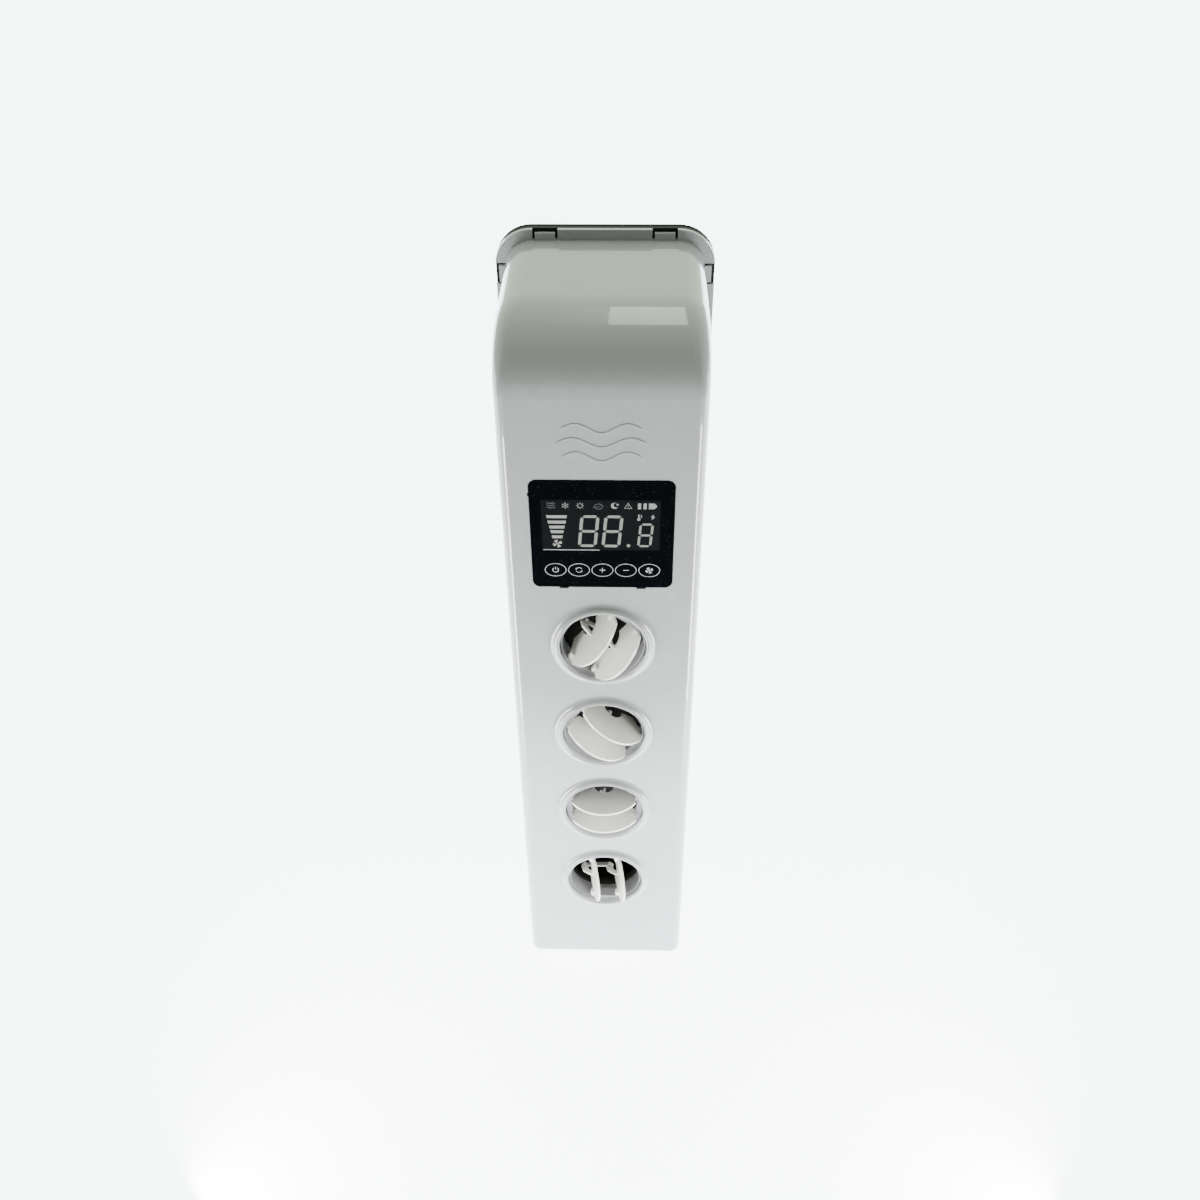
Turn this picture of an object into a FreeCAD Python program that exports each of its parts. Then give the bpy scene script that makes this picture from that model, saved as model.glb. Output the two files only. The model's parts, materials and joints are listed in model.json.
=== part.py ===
import FreeCAD, Part
import math
import os
import Sketcher

# Wall-hung cab climate unit with a ceramic (PTC) heater core, a cooling coil, one centrifugal
# blower and four round swivel vents. Millimetres. The origin is on the wall plane, at the middle
# of the four wall screws. +X is to the right seen from the front, +Y goes into the wall, +Z is up.
#
# Two helper scales are used throughout: "depth" runs inward from the front face, and "height"
# runs up from the bottom edge of the cover.

Vector = FreeCAD.Vector
Rotation = FreeCAD.Rotation
Placement = FreeCAD.Placement

doc = FreeCAD.newDocument("CabClimateUnit")
doc.UndoMode = 0

# --------------------------------------------------------------------------- driving dimensions
SIZES = {
    # cover shell
    "body_width": 130.0,
    "body_height": 607.0,
    "body_depth": 125.0,
    "wall": 2.8,
    "crown_radius": 45.0,
    "chin_radius": 10.0,
    "side_radius": 8.0,
    "shoulder_radius": 17.0,
    "flange_lip": 7.0,
    "flange_thick": 3.0,
    "flange_corner": 24.0,
    "tab_window": 16.4,
    "tab_slit": 1.6,
    "tab_place": 38.8,
    "side_tab_drop": 30.0,
    # wall side
    "plate_thick": 3.0,
    "seal_thick": 3.5,
    "seal_band": 12.0,
    "screw_span": 84.0,
    "screw_rise": 520.0,
    "wall_screw_hole": 2.6,
    "cover_screw_place": 30.0,
    # vents
    "vent_pitch": 86.0,
    "vent_low": 109.7,
    "vent_bore": 30.0,
    "collar_band": 5.0,
    "collar_stand": 3.6,
    "socket_depth": 15.0,
    "rotor_gap": 0.5,
    "rotor_front": 0.5,
    "rotor_wall": 1.2,
    "rotor_lip": 3.0,
    "rotor_flange_thick": 1.6,
    "shelf_inset": 4.6,
    "shelf_depth": 8.0,
    "blade_end_gap": 1.0,
    "blade_shoulder": 7.2,
    "blade_crown": 12.4,
    "blade_back": 11.5,
    "blade_thick": 1.8,
    "blade_offset": 1.2,
    "blade_spacing": 20.6,
    "pivot_depth": 2.6,
    "peg_radius": 1.5,
    "peg_length": 2.2,
    "fit_gap": 0.05,
    "link_pin_radius": 1.2,
    "link_arm": 4.0,
    "link_back": 11.0,
    "link_thick": 1.6,
    "link_width": 3.4,
    "notch_radius": 7.8,
    # display
    "panel_width": 92.0,
    "panel_height": 84.8,
    "panel_centre": 462.3,
    "panel_thick": 3.0,
    "panel_corner": 5.0,
    "panel_gap": 0.3,
    "release_place": 25.6,
    "release_width": 6.2,
    "release_rise": 1.3,
    "side_release_rise": 31.4,
    "lcd_margins": 16.0,
    "lcd_below": 44.8,
    "board_thick": 1.6,
    "panel_back": 10.4,
    "key_margins": 30.4,
    "key_rise": 14.5,
    # air path
    "duct_width": 112.0,
    "duct_front": 20.0,
    "duct_back": 66.0,
    "duct_wall": 2.0,
    "duct_low": 62.0,
    "duct_high": 412.0,
    "port_inset": 1.0,
    "ear_inset": 18.0,
    "heater_high": 440.0,
    "heater_width": 104.0,
    "fin_folds": 40,
    "heater_tubes": 3,
    "heater_tube_thick": 3.4,
    "stone_thick": 2.2,
    "stone_count": 6,
    "fan_height": 522.0,
    "fan_case_front": 26.0,
    "fan_case_back": 66.0,
    "fan_case_wall": 2.0,
    "volute_start": 46.5,
    "volute_end": 56.0,
    "fan_radius": 42.0,
    "fan_hub": 13.0,
    "fan_blades": 24,
    "fan_gap": 2.5,
    "inlet_radius": 33.0,
    "motor_radius": 30.0,
    "motor_front": 14.5,
    "shaft_radius": 2.5,
    # cooling coil
    "coil_front": 84.0,
    "coil_back": 108.0,
    "coil_low": 84.0,
    "coil_high": 368.0,
    "coil_half": 44.0,
    "coil_fins": 20,
    "coil_rows": 13,
    "tube_depth": 96.0,
    "tube_end": 46.0,
    "fin_thick": 0.4,
    "tube_radius": 3.6,
    "tray_thick": 1.8,
    "drain_radius": 6.0,
    "pipe_big": 4.76,
    "pipe_small": 3.18,
    "stub_drop": 22.0,
    "union_length": 15.0,
    "union_wall": 1.6,
    # bottom intake
    "grille_width": 96.0,
    "grille_depth": 26.0,
    "grille_centre": 93.0,
    "filter_thick": 5.0,
    "gland_radius": 8.0,
    "gland_place": 18.0,
    "drain_place": -12.0,
    "big_pipe_place": 46.0,
    "small_pipe_place": -46.0,
    "feed_depth": 48.0,
    "screw_core": 1.25,
    "screw_head": 2.8,
    "screw_head_rise": 1.8,
    "board_span": 92.0,
    "board_rise": 76.0,
    "board_centre": 516.0,
    "board_depth": 110.0,
    "grille_bars": 15,
    "filter_pleats": 32,
}
# sizes that follow others: each is a sum of (share, size)
LINKED = {
    "collar_radius": ((1, "vent_bore"), (1, "collar_band")),
    "rotor_flange": ((1, "vent_bore"), (1, "rotor_lip")),
    "shelf_chord": ((1, "vent_bore"), (-1, "shelf_inset")),
    "blade_half": ((1, "vent_bore"), (-1, "shelf_inset"), (-1, "blade_end_gap")),
    "port_radius": ((1, "vent_bore"), (-1, "port_inset")),
    "lcd_width": ((1, "panel_width"), (-1, "lcd_margins")),
    "lcd_height": ((1, "panel_height"), (-1, "lcd_below")),
    "key_pitch": ((0.25, "panel_width"), (-0.25, "key_margins")),
    "duct_ear": ((0.25, "duct_width"), (0.25, "body_width"), (-0.5, "wall")),
}
# seen from the front: direction of each vent's link side, and lean of its blades towards it
VENT_TURN = {1: 142.0, 2: 237.0, 3: 271.0, 4: 181.0}
VENT_LEAN = {1: -14.0, 2: 2.0, 3: -4.0, 4: -14.0}

sheet = doc.addObject("Spreadsheet::Sheet", "Dims")
for row, (alias, value) in enumerate(SIZES.items(), start=1):
    sheet.set(f"A{row}", alias)
    sheet.set(f"B{row}", str(value))
    sheet.setAlias(f"B{row}", alias)
for offset, (vent, angle) in enumerate(VENT_TURN.items(), start=len(SIZES) + 1):
    sheet.set(f"A{offset}", f"vent_turn_{vent}")
    sheet.set(f"B{offset}", str(angle))
    sheet.setAlias(f"B{offset}", f"vent_turn_{vent}")
for offset, (vent, angle) in enumerate(VENT_LEAN.items(), start=len(SIZES) + len(VENT_TURN) + 1):
    sheet.set(f"A{offset}", f"vent_lean_{vent}")
    sheet.set(f"B{offset}", str(angle))
    sheet.setAlias(f"B{offset}", f"vent_lean_{vent}")
doc.recompute()


def size(alias):
    """The number in one cell of the sheet, or of a size that follows others."""
    if alias in LINKED:
        return sum(share * size(source) for share, source in LINKED[alias])
    return float(sheet.get(alias))


def term(word):
    """One word of a formula as the sheet knows it."""
    if word in LINKED:
        shares = [f"{share} * Dims.{source}" for share, source in LINKED[word]]
        return f"({' + '.join(shares)})"
    return f"Dims.{word}" if word in ALIASES else word


def cell(text):
    """Turn a formula written with bare size names into one that names the sheet."""
    words = []
    word = ""
    for letter in text + " ":
        if letter.isalnum() or letter == "_":
            word += letter
            continue
        words.append(term(word))
        words.append(letter)
        word = ""
    return "".join(words).strip()


ALIASES = set(SIZES) | {f"vent_turn_{n}" for n in VENT_TURN} | {f"vent_lean_{n}" for n in VENT_LEAN}
FRONT = "(-(body_depth + flange_thick + plate_thick + seal_thick))"
BOTTOM = "(-body_height / 2)"


def at_depth(text):
    """World Y formula of a depth behind the front face."""
    return f"({FRONT} + {text})"


def at_height(text):
    """World Z formula of a height above the bottom edge."""
    return f"({BOTTOM} + {text})"


def bind(obj, prop, text):
    """Bind one property to a formula of sheet cells."""
    obj.setExpression(prop, cell(text))


def box(label, across, depth, height):
    """Box between two formulas on each axis: across in X, depth and height in the helper scales."""
    obj = doc.addObject("Part::Box", label)
    bind(obj, "Length", f"{across[1]} - ({across[0]})")
    bind(obj, "Width", f"{depth[1]} - ({depth[0]})")
    bind(obj, "Height", f"{height[1]} - ({height[0]})")
    bind(obj, "Placement.Base.x", across[0])
    bind(obj, "Placement.Base.y", at_depth(depth[0]))
    bind(obj, "Placement.Base.z", at_height(height[0]))
    return obj


TURNS = {
    "x": Rotation(Vector(0, 1, 0), 90),
    "y": Rotation(Vector(1, 0, 0), -90),
    "z": Rotation(),
}


def rod(label, axis, across, depth, height, radius, length):
    """Cylinder along one axis, from its end nearest the origin of that axis."""
    obj = doc.addObject("Part::Cylinder", label)
    obj.Placement = Placement(Vector(), TURNS[axis])
    bind(obj, "Radius", radius)
    bind(obj, "Height", length)
    bind(obj, "Placement.Base.x", across)
    bind(obj, "Placement.Base.y", at_depth(depth))
    bind(obj, "Placement.Base.z", at_height(height))
    return obj


def cut(label, base, tools):
    """Base minus every tool."""
    tool = tools[0] if len(tools) == 1 else group(f"{label}_tools", tools)
    obj = doc.addObject("Part::Cut", label)
    obj.Base = base
    obj.Tool = tool
    return obj


def fuse(label, shapes):
    """One solid from touching pieces."""
    obj = doc.addObject("Part::MultiFuse", label)
    obj.Shapes = shapes
    obj.Refine = True
    return obj


def group(label, shapes):
    """Separate solids kept in one node."""
    obj = doc.addObject("Part::Compound", label)
    obj.Links = shapes
    return obj


def common(label, base, tool):
    """What two shapes share."""
    obj = doc.addObject("Part::Common", label)
    obj.Base = base
    obj.Tool = tool
    return obj


def fillet(label, base, picks):
    """Round the edges that each (test, start radius, end radius) picks on the base."""
    doc.recompute()
    obj = doc.addObject("Part::Fillet", label)
    obj.Base = base
    edges = []
    for number, edge in enumerate(base.Shape.Edges, start=1):
        for test, start, end in picks:
            if test(edge):
                edges.append((number, start, end))
                break
    obj.Edges = edges
    return obj


def body(label):
    """Empty PartDesign body."""
    return doc.addObject("PartDesign::Body", label)


def sketch(owner, role, name, offset=0.0):
    """Sketch on one origin plane of its own body."""
    made = owner.newObject("Sketcher::SketchObject", name)
    plane = next(item for item in owner.Origin.OriginFeatures if item.Role == role)
    made.AttachmentSupport = [(plane, "")]
    made.MapMode = "FlatFace"
    made.AttachmentOffset = Placement(Vector(0, 0, offset), Rotation())
    return made


def add_loop(made, points):
    """Closed outline: a plain point starts a line, a (point, middle) pair starts an arc."""
    corners = [item[0] if isinstance(item[0], tuple) else item for item in points]
    for place, item in enumerate(points):
        start = Vector(*corners[place], 0)
        end = Vector(*corners[(place + 1) % len(corners)], 0)
        if isinstance(item[0], tuple):
            made.addGeometry(Part.Arc(start, Vector(*item[1], 0), end), False)
        else:
            made.addGeometry(Part.LineSegment(start, end), False)


def pad(owner, profile, length, name):
    """Pad a sketch by a formula."""
    made = owner.newObject("PartDesign::Pad", name)
    made.Profile = profile
    bind(made, "Length", length)
    return made


def turned(label, points):
    """Solid turned about its local Z from a closed outline of (radius, z) points."""
    owner = body(label)
    profile = sketch(owner, "XZ_Plane", f"{label}_profile")
    add_loop(profile, points)
    made = owner.newObject("PartDesign::Revolution", f"{label}_turn")
    made.Profile = profile
    made.ReferenceAxis = (profile, ["V_Axis"])
    made.Angle = 360.0
    return owner


def plate(label, role, start, length, outline):
    """Body padded by a formula from an outline that lies a formula's distance off a plane."""
    owner = body(label)
    profile = sketch(owner, role, f"{label}_outline")
    profile.setExpression("AttachmentOffset.Base.z", cell(start))
    add_loop(profile, outline)
    pad(owner, profile, length, f"{label}_pad")
    return owner


class Values:
    """The sheet's present numbers under their aliases."""

    def __getattr__(self, alias):
        return size(alias)


D = Values()
FRONT_Y = -(D.body_depth + D.flange_thick + D.plate_thick + D.seal_thick)
BOTTOM_Z = -D.body_height / 2
OUTWARD = Rotation(Vector(1, 0, 0), 90)
VENTS = (1, 2, 3, 4)
POST_CORNERS = ((-1, -1), (1, -1), (-1, 1), (1, 1))
POST_REACH = "(0.7071 * (collar_radius + 4.2))"
DUCT_EARS = [
    (east, height)
    for height in ("duct_low + ear_inset", "duct_high - ear_inset")
    for east in (-1, 1)
]
NODES = {}


def keep(node, obj):
    """Register an object as one node of the assembly."""
    obj.Label = node
    NODES[node] = obj
    return obj


def spot(across, depth, height):
    """World point of a place given in the helper scales."""
    return Vector(across, FRONT_Y + depth, BOTTOM_Z + height)


def vent_height(vent):
    """Height of a vent's centre; vent 1 is the top one."""
    return D.vent_low + (4 - vent) * D.vent_pitch


def vent_height_text(vent):
    """The same height as a formula."""
    return f"(vent_low + {4 - vent} * vent_pitch)"


def vent_frame(vent):
    """Local frame of a vent: X along its blades, Y to the link side, Z out of the wall."""
    turn = Rotation(Vector(0, -1, 0), size(f"vent_turn_{vent}") - 90)
    return Placement(spot(0, 0, vent_height(vent)), turn * OUTWARD)


# --------------------------------------------------------------------------- front cover
def near(a, b):
    return abs(a - b) < 0.01


def shell_block(label, inset, rear):
    """Rounded block of the cover's outside (inset 0) or of its hollow (inset of one wall)."""
    block = box(
        f"{label}_block",
        (f"-body_width / 2 + {inset}", f"body_width / 2 - {inset}"),
        (f"0 + {inset}", rear),
        (f"0 + {inset}", f"body_height - {inset}"),
    )
    skin = 0.0 if inset == "0" else size(inset)
    half = D.body_width / 2 - skin
    face = FRONT_Y + skin
    low = BOTTOM_Z + skin
    high = -BOTTOM_Z - skin
    crown = D.crown_radius - skin
    chin = D.chin_radius - skin
    side = D.side_radius - skin
    shoulder = D.shoulder_radius - skin

    def mid(edge):
        return edge.CenterOfMass

    ends = fillet(
        f"{label}_ends",
        block,
        [
            (lambda e: near(mid(e).y, face) and near(mid(e).z, high), crown, crown),
            (lambda e: near(mid(e).y, face) and near(mid(e).z, low), chin, chin),
        ],
    )

    def on_side(edge):
        return near(abs(mid(edge).x), half)

    def on_crown(edge):
        return on_side(edge) and edge.Curve.TypeId == "Part::GeomCircle" and mid(edge).z > 0

    def on_top(edge):
        return on_side(edge) and near(mid(edge).z, high)

    def on_front(edge):
        return on_side(edge) and near(mid(edge).y, face)

    def on_chin(edge):
        return on_side(edge) and edge.Curve.TypeId == "Part::GeomCircle" and mid(edge).z < 0

    def on_bottom(edge):
        return on_side(edge) and near(mid(edge).z, low)

    doc.recompute()
    made = doc.addObject("Part::Fillet", f"{label}_sides")
    made.Base = ends
    edges = []
    for number, edge in enumerate(ends.Shape.Edges, start=1):
        if on_crown(edge):
            rises = edge.valueAt(edge.LastParameter).y > edge.valueAt(edge.FirstParameter).y
            edges.append((number, side, shoulder) if rises else (number, shoulder, side))
        elif on_top(edge):
            edges.append((number, shoulder, shoulder))
        elif on_front(edge) or on_chin(edge) or on_bottom(edge):
            edges.append((number, side, side))
    made.Edges = edges
    return made


def rounded_plate(label, across, depth, height, radius):
    """Flat upright plate with its four corners rounded."""
    block = box(f"{label}_blank", across, depth, height)
    return fillet(
        label, block, [(lambda e: near(abs(e.tangentAt(e.FirstParameter).y), 1), radius, radius)]
    )


def flange_blank(label, front, rear):
    """Rounded plate of the rear flange's outline between two depths."""
    return rounded_plate(
        label,
        ("-body_width / 2 - flange_lip", "body_width / 2 + flange_lip"),
        (front, rear),
        ("0 - flange_lip", "body_height + flange_lip"),
        D.flange_corner,
    )


def collar(vent):
    """Raised rim and inner socket tube of one vent, turned about the vent's axis."""
    crest = 1.7
    bore = D.vent_bore
    rim = D.collar_radius
    top = D.collar_stand
    foot = D.wall / 2
    back = D.socket_depth - 2.5
    slope = 2.2
    owner = turned(
        f"vent_{vent}_collar",
        [
            (bore, -back),
            ((bore, top - crest), (bore + 0.29 * crest, top - 0.29 * crest)),
            ((bore + crest, top), (bore + 1.9 * crest, top - 0.35 * crest)),
            ((rim - slope * 0.3, slope * 0.55), (rim + slope * 0.35, slope * 0.13)),
            (rim + slope, 0.0),
            (rim + slope, -foot),
            (bore + 2, -foot),
            (bore + 2, -back),
        ],
    )
    owner.Placement = Placement(spot(0, 0, vent_height(vent)), OUTWARD)
    return owner


def front_cover():
    """Moulded shell: rounded box, rear flange with snap tabs, four vent sockets, panel opening."""
    outside = shell_block("cover_outside", "0", "body_depth + flange_thick")
    hollow = shell_block("cover_hollow", "wall", "body_depth + flange_thick + 1")
    flange = flange_blank("cover_flange", "body_depth", "body_depth + flange_thick")
    skin = cut("cover_skin", fuse("cover_mass", [outside, flange]), [hollow])
    bores = [
        rod(f"cover_bore_{n}", "y", "0", "-1", vent_height_text(n), "vent_bore + 1", "wall + 2")
        for n in VENTS
    ]
    opening = rounded_plate(
        "panel_opening",
        ("-panel_width / 2 - panel_gap", "panel_width / 2 + panel_gap"),
        ("-1", "wall + 1"),
        (
            "panel_centre - panel_height / 2 - panel_gap",
            "panel_centre + panel_height / 2 + panel_gap",
        ),
        D.panel_corner + D.panel_gap,
    )
    windows = []
    tabs = []
    for side, sign in (("left", "-"), ("right", "")):
        middle = f"{sign}tab_place"
        windows.append(
            box(
                f"tab_window_{side}",
                (f"{middle} - tab_window / 2", f"{middle} + tab_window / 2"),
                ("body_depth - 1", "body_depth + flange_thick + 1"),
                ("body_height + 0.4", "body_height + flange_lip + 1"),
            )
        )
        tabs.append(
            box(
                f"tab_{side}",
                (
                    f"{middle} - tab_window / 2 + tab_slit",
                    f"{middle} + tab_window / 2 - tab_slit",
                ),
                ("body_depth - 0.6", "body_depth + flange_thick - 0.8"),
                ("body_height - wall", "body_height + flange_lip - 2.2"),
            )
        )
        edge = "-body_width / 2 - flange_lip - 1" if side == "left" else "body_width / 2 + 0.4"
        windows.append(
            box(
                f"side_window_{side}",
                (edge, f"{edge} + flange_lip + 0.6"),
                ("body_depth - 1", "body_depth + flange_thick + 1"),
                (
                    "body_height - side_tab_drop",
                    "body_height - side_tab_drop + tab_window - 2",
                ),
            )
        )
        lip = "-body_width / 2 - flange_lip + 2.2" if side == "left" else "body_width / 2 - wall"
        tabs.append(
            box(
                f"side_tab_{side}",
                (lip, f"{lip} + flange_lip - 2.2 + wall"),
                ("body_depth - 0.6", "body_depth + flange_thick - 0.8"),
                (
                    "body_height - side_tab_drop + tab_slit",
                    "body_height - side_tab_drop + tab_window - 2 - tab_slit",
                ),
            )
        )
    bottom_cuts = [
        box(
            "grille_opening",
            ("-grille_width / 2 - 0.3", "grille_width / 2 + 0.3"),
            (
                "grille_centre - grille_depth / 2 - 0.3",
                "grille_centre + grille_depth / 2 + 0.3",
            ),
            ("-1", "wall + 1"),
        ),
        rod("gland_opening", "z", "gland_place", "feed_depth", "-1", "gland_radius + 0.2", "wall + 2"),
        rod("drain_opening", "z", "drain_place", "feed_depth", "-1", "drain_radius + 0.4", "wall + 2"),
        rod("big_pipe_opening", "z", "big_pipe_place", "feed_depth", "-1", "pipe_big + 0.6", "wall + 2"),
        rod(
            "small_pipe_opening",
            "z",
            "small_pipe_place",
            "feed_depth",
            "-1",
            "pipe_small + 0.6",
            "wall + 2",
        ),
    ]
    releases = [
        box(
            f"release_{side}",
            (
                f"{sign} * release_place - release_width / 2",
                f"{sign} * release_place + release_width / 2",
            ),
            ("-1", "wall + 1"),
            (
                "panel_centre - panel_height / 2 - panel_gap - release_rise",
                "panel_centre - panel_height / 2",
            ),
        )
        for side, sign in (("left", "-1"), ("right", "1"))
    ]
    releases.append(
        box(
            "release_side",
            ("-panel_width / 2 - panel_gap - release_rise / 2", "-panel_width / 2"),
            ("-1", "wall + 1"),
            (
                "panel_centre + side_release_rise - release_width / 4",
                "panel_centre + side_release_rise + release_width / 4",
            ),
        )
    )
    open_skin = cut("cover_openings", skin, bores + [opening] + releases + windows + bottom_cuts)
    posts = []
    holes = []
    for vent in VENTS:
        for number, (east, north) in enumerate(POST_CORNERS, start=1):
            height = f"{vent_height_text(vent)} + {north} * {POST_REACH}"
            place = (f"{east} * {POST_REACH}", "wall - 0.2", height)
            posts.append(
                rod(f"post_{vent}_{number}", "y", *place, "3.2", "socket_depth - wall + 0.1")
            )
            holes.append(
                rod(
                    f"post_hole_{vent}_{number}", "y", place[0], "wall + 1.2", height, "screw_core", "16"
                )
            )
    for number, (east, height) in enumerate(DUCT_EARS, start=1):
        place = (f"{east} * duct_ear", "wall - 0.2", height)
        posts.append(rod(f"duct_post_{number}", "y", *place, "3.2", "duct_front - wall + 0.2"))
        holes.append(
            rod(f"duct_post_hole_{number}", "y", place[0], "duct_front - 9", height, "screw_core", "12")
        )
    collars = [collar(vent) for vent in VENTS]
    for side, sign in (("left", "-1"), ("right", "1")):
        place = (f"{sign} * cover_screw_place", "body_depth - 1", "-flange_lip / 2")
        holes.append(
            rod(f"cover_screw_hole_{side}", "y", *place, "screw_core + 0.3", "flange_thick + 2")
        )
    mass = fuse("cover_solid", [open_skin] + collars + posts + tabs)
    return keep("front_cover", cut("cover_final", mass, holes))


# --------------------------------------------------------------------------- swivel vents
def screw(label, axis, across, depth, height, length, turned_over=False):
    """Pan-head screw: a formula place for the seat, the shank running along +axis."""
    head = rod(f"{label}_head", axis, across, depth, height, "screw_head", "screw_head_rise")
    moved = {"x": "x", "y": "y", "z": "z"}[axis]
    texts = {"x": across, "y": at_depth(depth), "z": at_height(height)}
    shift = "" if turned_over else " - screw_head_rise"
    bind(head, f"Placement.Base.{moved}", f"{texts[axis]}{shift}")
    shank = rod(f"{label}_shank", axis, across, depth, height, "screw_core - 0.05", length)
    back = f" - ({length})" if turned_over else ""
    bind(shank, f"Placement.Base.{moved}", f"{texts[axis]}{back}")
    return fuse(label, [head, shank])


def rotor(vent):
    """Swivel ring of a vent with two flat shelves that carry the blade pegs."""
    outer = D.vent_bore - D.rotor_gap
    inner = outer - D.rotor_wall
    front = -D.rotor_front
    back = -(D.socket_depth - 0.5)
    flange_front = back + D.rotor_flange_thick
    owner = turned(
        f"vent_{vent}_ring",
        [
            (inner, front),
            (outer, front),
            (outer, flange_front),
            (D.rotor_flange, flange_front),
            (D.rotor_flange, back),
            (inner, back),
        ],
    )
    chord = D.shelf_chord
    reach = inner + D.rotor_wall / 2
    rise = math.sqrt(reach * reach - chord * chord)
    shelves = []
    for sign, name in ((1, "near"), (-1, "far")):
        shelf = body(f"vent_{vent}_shelf_{name}")
        profile = sketch(shelf, "XY_Plane", f"vent_{vent}_shelf_outline_{name}", -D.shelf_depth - 1.0)
        low = Vector(sign * chord, -rise, 0)
        high = Vector(sign * chord, rise, 0)
        profile.addGeometry(Part.Arc(low, Vector(sign * reach, 0, 0), high), False)
        profile.addGeometry(Part.LineSegment(high, low), False)
        pad(shelf, profile, "shelf_depth", f"vent_{vent}_shelf_pad_{name}")
        shelves.append(shelf)
    mass = fuse(f"vent_{vent}_rotor_mass", [owner] + shelves)
    drills = []
    for sign, name in ((1, "upper"), (-1, "lower")):
        drill = doc.addObject("Part::Cylinder", f"vent_{vent}_peg_hole_{name}")
        drill.Placement = Placement(Vector(), TURNS["x"])
        bind(drill, "Radius", "peg_radius + fit_gap")
        bind(drill, "Height", "4 * vent_bore")
        bind(drill, "Placement.Base.x", "-2 * vent_bore")
        bind(drill, "Placement.Base.y", f"{sign} * blade_spacing / 2")
        bind(drill, "Placement.Base.z", "-pivot_depth")
        drills.append(drill)
    made = cut(f"vent_{vent}_rotor_solid", mass, drills)
    made.Placement = vent_frame(vent)
    return keep(f"vent_{vent}_rotor", made)


def blade_frame(vent, side):
    """Frame of one blade: X along its pivot, Y to its link side, Z to its front edge."""
    place = Vector(0, side * D.blade_spacing / 2, -D.pivot_depth)
    lean = Rotation(Vector(1, 0, 0), -size(f"vent_lean_{vent}"))
    return vent_frame(vent) * Placement(place, lean)


def blade(vent, name, side):
    """Crowned plate with a peg at each end, a notch for the link bar and a link arm."""
    half = D.blade_half
    front = D.blade_shoulder
    crown = front + D.blade_crown
    back = -D.blade_back
    side_end = -3.5
    back_half = 0.7 * half
    label = f"vent_{vent}_blade_{name}"
    face = D.blade_offset - D.blade_thick / 2
    notch = D.notch_radius
    owner = plate(
        f"{label}_plate",
        "XZ_Plane",
        "blade_offset - blade_thick / 2",
        "blade_thick",
        [
            ((-half, front), (0, crown)),
            (half, front),
            (half, side_end),
            (back_half, back),
            ((notch, back), (0, back + notch)),
            (-notch, back),
            (-back_half, back),
            (-half, side_end),
        ],
    )
    pegs = []
    for sign, end in ((1, "near"), (-1, "far")):
        for part, radius, start, length in (
            ("boss", "peg_radius + 0.8", "blade_half - 4", "4"),
            ("peg", "peg_radius", "blade_half - 1", "peg_length + 1"),
        ):
            peg = doc.addObject("Part::Cylinder", f"{label}_{part}_{end}")
            peg.Placement = Placement(Vector(), TURNS["x"])
            bind(peg, "Radius", radius)
            bind(peg, "Height", length)
            bind(peg, "Placement.Base.x", start if sign > 0 else f"-({start}) - ({length})")
            pegs.append(peg)
    arm_y = D.link_arm
    arm_z = -D.link_back
    knuckle = D.link_pin_radius + 2.0
    diagonal = 0.7071 * knuckle
    arm = plate(
        f"{label}_arm",
        "YZ_Plane",
        "-link_thick / 2",
        "link_thick",
        [
            (-face - D.blade_thick / 2, -0.5),
            (1.5, -1.0),
            (arm_y + knuckle - 0.6, arm_z + knuckle + 1.6),
            ((arm_y + knuckle, arm_z), (arm_y, arm_z - knuckle)),
            ((arm_y - knuckle, arm_z), (arm_y - diagonal, arm_z + diagonal)),
            (-face - D.blade_thick / 2, -3.6),
        ],
    )
    pin = doc.addObject("Part::Cylinder", f"{label}_link_pin")
    pin.Placement = Placement(Vector(), TURNS["x"])
    bind(pin, "Radius", "link_pin_radius")
    bind(pin, "Height", "link_thick * 2 + 0.6")
    bind(pin, "Placement.Base.y", "link_arm")
    bind(pin, "Placement.Base.z", "-link_back")
    made = fuse(f"{label}_solid", [owner, arm, pin] + pegs)
    made.Placement = blade_frame(vent, side)
    return keep(label, made)


def link(vent):
    """Flat bar that gangs the two blades; its far hole is slack."""
    wide = D.link_width / 2
    pitch = D.blade_spacing
    label = f"vent_{vent}_link"
    owner = plate(
        f"{label}_bar",
        "YZ_Plane",
        "link_thick / 2 + 0.3",
        "link_thick",
        [
            ((0, wide), (wide, 0)),
            (0, -wide),
            ((-pitch, -wide), (-pitch - wide, 0)),
            (-pitch, wide),
        ],
    )
    drills = []
    for name, place, radius in (
        ("fit", "0", "link_pin_radius + fit_gap"),
        ("slack", "-blade_spacing", "link_pin_radius + 0.35"),
    ):
        drill = doc.addObject("Part::Cylinder", f"{label}_hole_{name}")
        drill.Placement = Placement(Vector(), TURNS["x"])
        bind(drill, "Radius", radius)
        bind(drill, "Height", "6 * link_thick")
        bind(drill, "Placement.Base.x", "-link_thick")
        bind(drill, "Placement.Base.y", place)
        drills.append(drill)
    made = cut(f"{label}_solid", owner, drills)
    arm = blade_frame(vent, 1) * Placement(Vector(0, D.link_arm, -D.link_back), Rotation())
    straight = vent_frame(vent).Rotation
    made.Placement = Placement(arm.Base, straight)
    return keep(label, made)


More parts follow.
